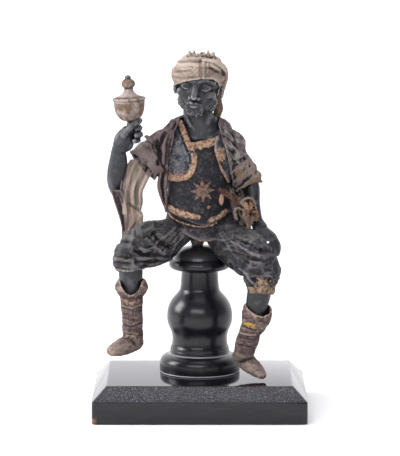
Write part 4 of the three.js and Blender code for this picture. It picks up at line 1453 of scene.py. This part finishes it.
def mantle():
    pleats = lambda share, angle: 1.1 * np.sin(9 * angle + 3 * share) * (1.1 - share)
    right = [(-60, 300), (-17, 300), (-19.6, 289), (-24, 279), (-27.6, 261), (-31, 246),
             (-32, 226), (-60, 226)]
    left = [(60, 300), (60, 226), (33, 226), (29, 244), (25.6, 260), (21, 274), (18, 285), (22, 300)]
    half = [(30, 178), (28, 200), (33, 226), (60, 232), (60, 300)]
    back = [*half, *[(-x, z) for x, z in reversed(half)]]
    shape = [prism(right, -60, 9), prism(left, -60, 9), prism(back, 8, 60)]
    piece = garment(trunk(COAT_OUT, folds=pleats), trunk(COAT_IN), shape)
    return trim(piece, ball((2, 6, 287), (17.6, 15, 22)))


def sleeves():
    """Each sleeve, and then its turned-back cuff."""
    ripple = lambda share, angle: 1.3 * np.sin(4 * angle + 7 * share) * share
    crumple = lambda share, angle: 1.3 * np.sin(2 * angle + 16 * share) * np.minimum(1, 2 * share)
    return [
        sleeve(60, along, line=line, wide=wide, deep=deep, folds=folds)
        for along, folds, line, wide, deep in (
            (50, ripple, [(-21, 10, 274), (-36, 8, 264), (-46, 3, 253), (-55, -1, 243.6)],
             [9, 13.4, 15.6, 16.4], [9, 13.4, 14, 13.4]),
            (24, ripple, [(-43.6, 4, 255), (-49.6, 1.4, 249), (-56.4, -1.4, 243)],
             [16.6, 18.2, 18.2], [15.6, 16.4, 15.6]),
            (60, crumple, [(20, 12, 273), (30.5, 11, 265), (35.6, 9, 252), (41, 6, 238), (48, 3, 225)],
             [9, 12, 12, 12.6, 12], [9, 12.4, 12.4, 12, 10.6]),
            (24, crumple, [(39.6, 7, 241), (44.8, 4.6, 232), (49, 2.6, 222)],
             [12.8, 14.6, 13.8], [12.6, 14, 13]),
        )
    ]


# %% Hanging cloth
def hanging(left, right, depth, top, bottom, folds, bulge):
    """Cloth hanging between a left and a right edge, seen from in front."""

    def place(u, v):
        x = through(left, v) * (1 - u) + through(right, v) * u
        wave = np.sin(folds * np.pi * u + 1.6 * v) + 0.4 * np.sin(2.3 * folds * np.pi * u - 3 * v)
        y = through(depth, v) + bulge * wave * np.minimum(1, 0.4 + v)
        return np.stack([x, y, top + (bottom - top) * v], axis=1)

    return thicken(sheet("hanging", 70, 70, place), 1.7, 0)


def hanging_cloths():
    """The right front, the left side, and the slit sleeve: lining, outer strip and end."""
    return [
        hanging([-28, -39, -40, -39, -40, -42, -38, -33.4],
                [-19.6, -25, -28.6, -30.4, -31.4, -31.8, -32, -32.4],
                [-1, -7, -9, -8, -6.4, -5.4, -5, -5], 289, 197, 4, 1.3),
        hanging([24, 26, 27, 28, 29, 30], [44, 47, 50, 51, 51, 48], [8, 6, 4, 3, 2, 1],
                234, 179.5, 5, 1.6),
        hanging([-68, -75, -77, -78, -77, -75], [-45, -45.6, -51, -55.6, -56, -58],
                [-6, -10, -14.5, -17, -18.4, -19], 250, 198, 6, 1.9),
        hanging([-87, -84.4, -81, -78.2, -76.6, -76], [-77, -73, -71.2, -70.8, -71.4, -72.6],
                [-18, -21.5, -23, -23.4, -23, -22], 221, 173, 1.5, 1.6),
        hanging([-72, -72.6, -72.6, -73, -74, -76], [-60, -55.6, -55.4, -56.6, -60, -69],
                [-18.6, -21, -22, -22, -21.6, -21], 205, 172, 4, 1.5),
    ]


# %% Coat
CUFF_EDGE = (32.6, 240), 0.784  # a point on the left cuff's upper edge, and its slope


def above(x, z, at, slope):
    """How far points lie above a slanting line drawn on the front."""
    return z - at[1] - slope * (x - at[0])


def coat():
    corner = rod([(-48, -8, 268.6), (-51.4, -9, 272), (-53, -9.4, 272.6)], [2.2, 2.4, 1.6])
    piece = blend("coat", [mantle(), *sleeves(), *hanging_cloths(), corner], 0.92, 1)
    strokes(piece, [
        ([(-24, 284), (-30, 264), (-32, 246)], 2.6, -1.3),
        ([(-27, 284), (-35, 266), (-36.6, 246)], 2.6, 1.2),
        ([(-34, 276), (-41, 262), (-40, 246)], 3.2, -2.0),
        ([(-40, 276), (-47, 264), (-42, 252)], 3.2, 1.2),
        ([(-36, 236), (-37, 222), (-35, 206)], 2.2, -1.2),
        ([(-48.7, 265), (-43.6, 256), (-38.4, 246.6)], 1.5, 1.2),
        ([(-46.4, 264), (-41.4, 255), (-36.6, 245)], 1.8, -1.4),
        ([(-58, 266), (-52, 256), (-45, 246)], 3.0, 1.0),
        ([(-63, 262), (-57, 252), (-50, 243)], 3.0, -0.9), ([(24, 281), (32, 276), (41, 266)], 2.2, 1.1),
        ([(22, 274), (31, 268), (38, 258)], 2.0, -0.8), ([(24, 268), (33, 261), (42, 255)], 2.0, 1.0),
        ([(26, 262), (34, 255), (41, 250)], 1.8, -0.8), ([(36, 277), (42, 268), (46, 259)], 1.8, -0.7),
        ([(41, 275), (46, 264), (49, 256)], 1.8, 1.0), ([(31, 248), (38, 248), (47, 253)], 2.2, -0.8),
        ([(48, 249.9), (39.5, 243.6), (31, 236)], 1.6, 1.2),
        ([(48, 249.3), (46.2, 240), (39.5, 227.4), (35.8, 222.4)], 1.6, 1.2),
        ([(50, 243), (46.5, 231), (40, 223)], 1.8, -0.6),
        ([(54.2, 240), (51.7, 231.2), (43.2, 222.4)], 1.5, 1.0),
        ([(57, 234), (52.6, 227), (46, 221.6)], 1.5, -0.5),
        ([(61, 230), (55.4, 225), (49.3, 222)], 1.5, 0.8), ([(44, 240), (38, 230), (34, 225)], 1.8, -0.5),
        ([(-60, 240), (-62, 222), (-61, 204)], 2.8, -0.9),
        ([(-70, 240), (-71, 222), (-69, 206)], 2.4, -0.8),
        ([(-69, 207), (-63, 203.6), (-57, 198.6)], 2.0, -1.8),
        ([(-71.4, 180), (-66, 188), (-61, 198)], 2.0, 0.9),
        ([(-69, 176), (-63, 183), (-57.6, 193)], 1.8, -0.8),
        ([(-80, 214), (-76, 200), (-74, 182)], 1.8, -1.2),
    ])
    for x in (-22, -11, 0, 11, 22):
        stroke(piece, [(0.7 * x, 276), (x, 246), (1.2 * x, 184)], 5, 1.0, side=1)
        stroke(piece, [(x + 5, 250), (1.1 * x + 6, 225), (x + 6, 184)], 4, -1.0, side=1)
    points = points_of(piece)
    x, y, z = points.T
    under_sleeve = above(x, z, (-66, 254), -1.32) < 0
    drape = (x < -47) & under_sleeve & (z < 250) & (y < 4)
    crumples = 0.5 * noise(points * (1, 1, 0.5), 4.6, 71) + 0.2 * noise(points, 1.9, 72)
    turned_up = ramp(above(x, z, *CUFF_EDGE), 0, -4)
    crisp = crests(points * (1, 1, 0.7), 4, 73)
    crumples = crumples + 0.3 * (crisp + 0.4) * (x > 20) * (1 - 0.8 * turned_up)
    push(piece, np.where(drape, 0.5, 1) * crumples)
    store_coat_masks(piece, drape, under_sleeve)
    store_wear_and_shade(piece, 0.9)
    hand_over(piece, "draped_coat", "coat", coat_cloth())


# %% Where the coat's colours lie
def store_coat_masks(piece, drape, under_sleeve):
    points = points_of(piece)
    x, y, z = points.T
    lining = drape & (x > -76 + 0.12 * (z - 200)) & (z > 198)
    twisted_end = drape & (x > -72.4) & (z <= 204)
    twist = 0.45 + 0.45 * np.sin((x * 0.9 - z * 0.5) * 1.5)
    store(piece, lining=lining | twisted_end, green=lining * band(x, -62.6, 1.8))
    store(piece, red=np.maximum(lining * band(x, -68, 1.2), twisted_end * twist))
    cuff = ramp(above(x, z, *CUFF_EDGE), 0, -2) * (x > 32)
    cuff = cuff * ramp(above(x, z, (38.2, 214), 0.438), 0, 2) * (y < 12)
    cuff = cuff * ramp(x - 0.64 * (236 - z), 30, 33)
    khaki = np.maximum(near_spot(points, 39.6, 236, 6, 6), near_spot(points, 55, 228, 7, 5))
    store(piece, cuff=cuff, khaki=cuff * khaki)
    left_sleeve = (x > 24) & (y < 14)
    slanting = np.stack([0.8 * x + 0.6 * z, 0.5 * y, 0.16 * x - 0.2 * z], axis=1)
    streaks = np.clip(2.4 * noise(slanting, 1.3, 75), 0, 1)
    store(piece, sleeve=left_sleeve, silver=streaks * left_sleeve * (1 - cuff))
    past_fold = (x + 43.6) * 18.4 + (z - 256) * 10.3
    store(piece, band=ramp(past_fold, 0, -40) * (z < 270) * (x > -68) * ~under_sleeve)


# %% The coat's cloth
def coat_cloth():
    zones = [("sleeve", 0x454244), ("band", 0x6E625E), ("cuff", 0x7A6E64)]
    stuff = aged("coat cloth", 0x2E2527, 0x221B1D, 0x131010, 0x66595A, 0.8, 7, 0.8, 0.2, zones)
    stuff.mottle(0x5E5250, 1.6, 5, 0.54, 0.7, 0.5)
    stuff.mark(0x85776D, "lining", 0.3, 0.8)
    stuff.mark(0x706F60, "green", 0.4, 1.1, 0.4)
    stuff.mark(0x755A52, "red", 0.4, 1.1, 0.4)
    stuff.mark(0x7C7674, "silver", 0.4, 1.0)
    lining, proud = stuff.stored("lining"), stuff.stored("proud")
    # Hollows darker still, less so on the lining: painted shade.
    hollow = stuff.spread(proud, 0.4, 0.1, 0, 0.9)
    stuff.layer(0x1C1516, hollow, stuff.spread(lining, 0, 1, 1, 0.5))
    # Painted highlight on the lining's raised folds.
    stuff.layer(0xA89A90, stuff.spread(proud, 0.6, 1, 0, 0.45), lining)
    stuff.mark(0x64523F, "khaki", 0.5, 1.1, 0.5, stuff.clouds)
    return stuff.done()


coat()

# %% [markdown]
# ## The sash
#
# A twisted sash comes from behind the waist to a knot at the left hip. From the knot
# come three loops, and a fanned end and a narrow one hang down.

# %% Sash
def loop(at, wide, tall, thin, turns):
    """A loop of twisted cloth that stands up from the knot and dips back into it."""
    line = []
    for a in np.linspace(*turns, 15):
        swell = 1 + 0.1 * np.sin(3 * a + at[0])
        out = -1.6 * np.sin((a - turns[0]) / (turns[1] - turns[0]) * np.pi)
        x, z = at[0] + wide * swell * np.cos(a), at[2] + tall * swell * np.sin(a)
        line.append((x, at[1] + out + 1.4, z))
    twist = lambda share, angle: 0.22 * np.sin(2 * angle + 40 * share)
    form = {"wide": [thin, thin * 0.9, thin], "deep": [2.6] * 3, "folds": twist}
    return tube("loop", 16, 72, line=line, domes=(1, 1), **form)


def sash():
    girdle = [(20, -15.5, 220.5), (29, -18.6, 216), (38, -21, 210.4), (46, -22, 207)]
    forms = [
        tube("girdle", 30, 80, line=girdle, wide=[2.4, 3, 4, 3.6], deep=[2, 2.6, 3.2, 3],
             domes=(2, 2), folds=lambda share, angle: 0.6 * np.sin(3 * angle + 18 * share)),
        ball((46, -20, 207), (6.4, 2.6, 5.4), (0, 0.4, 0)),
        ball((44.6, -19.6, 200), (6.6, 2.2, 6), (0, -0.4, 0)),
        *[rod([(41, -23, 210), (46, -26, 206), (48, -23, z)], [2.2, 2.8, 2]) for z in (200, 202, 204)],
        *[rod([(x, -22, 202), (49, -25.6, 205), (50, -22, z)], [2, 2.4, 2])
          for x, z in ((43, 210), (45, 209))],
        loop((47.6, -23, 208.6), 6.6, 4.8, 1.2, (3.3, -0.7)),
        loop((50.4, -22.4, 204), 4.2, 3.4, 1.0, (2.2, -1.2)),
        loop((38.8, -22.4, 198.4), 4.4, 5.4, 1.3, (4.3, -0.3)),
        hanging([44, 42, 42, 44.6, 47], [50, 54, 54.4, 52.4, 49.6], [-21, -23, -23, -22, -21.6],
                205, 184, 3.4, 1.0),
        hanging([47, 52, 53.6, 54], [51, 56.4, 57.6, 57], [-21, -22.6, -22, -20.6],
                206, 191, 2.4, 0.9),
    ]
    piece = blend("sash", forms, 0.5, 1)
    points = points_of(piece)
    push(piece, 0.45 * crests(points * (1, 1, 0.6), 2.6, 81) + 0.15 * noise(points, 1.1, 82))
    x, y, z = points.T
    loops = np.minimum(
        np.abs(np.hypot((x - 47.6) / 6.8, (z - 209) / 4.8) - 1) + 0.2 * (z < 208),
        np.abs(np.hypot((x - 38.8) / 4.8, (z - 198.4) / 5.6) - 1),
    )
    store(piece, dark=ramp(x, 44, 38) * (z > 204), olive=ramp(z, 200, 192))
    store(piece, grey=np.clip(1.3 - 3 * loops, 0, 1) * ramp(y, -21, -22.4))
    store_wear_and_shade(piece, 0.7)
    stuff = aged("sash cloth", 0x5A4139, 0x432F2A, 0x160E0C, 0xA08672, 0.8, 5, 0.8, 0.14)
    stuff.mottle(0x7E583E, 6, 3, 0.5, 0.6, 0.5)
    stuff.mark(0x3A2420, "dark", 0.3, 1.0, 0.5)
    stuff.mark(0x5A4F46, "olive", 0.4, 1.1, 0.5)
    stuff.mark(0x665C56, "grey", 0.4, 0.9)
    hand_over(piece, "knotted_sash", "sash", stuff.done())


sash()

# %% [markdown]
# ## Studio
#
# The photograph is a catalogue picture: white all round, with a long lens a little above
# the plinth. What the black polish mirrors tells where the light stood: a bright backdrop
# seen in the plinth's top, a brighter ceiling in its chamfer, a dim room in front, a tall
# window straight to the left, and a long strip lamp in front. The other lamps only fill
# in, and aren't mirrored. The camera's place comes from the plinth's edges: 8.4 degrees
# above the horizon and some 3 metres away.

# %% Floor, light and world
BACKDROP, CEILING, FRONT_ROOM = 1.7, 1.9, 0.3


def floor():
    bpy.ops.object.select_all(action="DESELECT")
    bpy.ops.mesh.primitive_plane_add(size=14, location=(0, 0, -0.0006))
    ground = bpy.context.object
    ground.name = "studio_floor"
    paper = Finish("studio paper", (0.8, 0.8, 0.8), 0.9, 0.0)
    paper.feed(paper.shader["Emission Color"], (1, 1, 1, 1))
    far = paper.combine("MULTIPLY", paper.near((0, 0, 0), 2600, 300), 0.6)
    paper.feed(paper.shader["Emission Strength"], far)
    ground.data.materials.append(paper.done())


def lamp(name, at, size, radiance, mirrored=True):
    """A soft box that faces the figure, as bright to look at as the radiance says."""
    light = bpy.data.lights.new(name, "AREA")
    light.shape = "RECTANGLE"
    light.size, light.size_y = size
    light.energy = radiance * np.pi * size[0] * size[1]
    holder = bpy.data.objects.new(name, light)
    holder.location = at
    holder.visible_glossy = mirrored
    towards = Vector((0, 0, 0.18)) - Vector(at)
    holder.rotation_euler = towards.to_track_quat("-Z", "Y").to_euler()
    bpy.context.collection.objects.link(holder)


def world():
    """White light that is dimmer in front and brighter above."""
    surroundings = bpy.data.worlds.new("white studio")
    surroundings.use_nodes = True
    sky = Tree(surroundings.node_tree)
    background = sky.nodes["Background"].inputs
    direction = sky.node("TexCoord", {}, "Generated")
    behind = sky.spread(sky.axis(direction, "Y"), 0.1, 0.7, FRONT_ROOM, BACKDROP)
    overhead = sky.spread(sky.axis(direction, "Z"), 0.86, 0.98, FRONT_ROOM, CEILING)
    sky.feed(background["Color"], (0.965, 0.96, 1, 1))
    sky.feed(background["Strength"], sky.combine("MAXIMUM", behind, overhead))
    bpy.context.scene.world = surroundings


floor()
world()
lamp("left window", (-1.4, 0, 0.8), (0.7, 0.9), 12.5)
lamp("front strip", (-0.25, -1.4, 0.72), (1.2, 0.16), 13)
lamp("front left lamp", (-0.9, -1.2, 0.62), (0.26, 0.26), 3, mirrored=False)
lamp("front lamp", (0.2, -1.2, 1.1), (0.3, 0.3), 6, mirrored=False)
lamp("overhead", (-0.3, -0.7, 1.9), (1.4, 1.4), 3.2, mirrored=False)
lamp("left fill", (-1.6, -0.6, 0.5), (0.8, 1.0), 2.5, mirrored=False)
lamp("right fill", (1.6, -0.4, 0.6), (0.8, 1.0), 1.5, mirrored=False)
bpy.context.scene.view_settings.view_transform = "Standard"

# %% Camera
CAMERA_AIM = Vector((0.3, 0, 180.7)) * MM
CAMERA_AWAY = 3083.8 * MM
CAMERA_PITCH = np.radians(8.36)
FOCAL_PIXELS = 3120.8
PHOTO_HEIGHT = 456


def camera():
    lens = bpy.data.cameras.new("camera")
    lens.sensor_fit = "VERTICAL"
    lens.sensor_height = 24
    lens.lens = FOCAL_PIXELS * lens.sensor_height / PHOTO_HEIGHT
    lens.clip_end = 50
    holder = bpy.data.objects.new("camera", lens)
    back = Vector((0, -np.cos(CAMERA_PITCH), np.sin(CAMERA_PITCH)))
    holder.location = CAMERA_AIM + back * CAMERA_AWAY
    holder.rotation_euler = (np.pi / 2 - CAMERA_PITCH, 0, 0)
    bpy.context.collection.objects.link(holder)
    bpy.context.scene.camera = holder
    print("lens:", round(lens.lens, 1), "mm at", [round(v, 3) for v in holder.location])


camera()
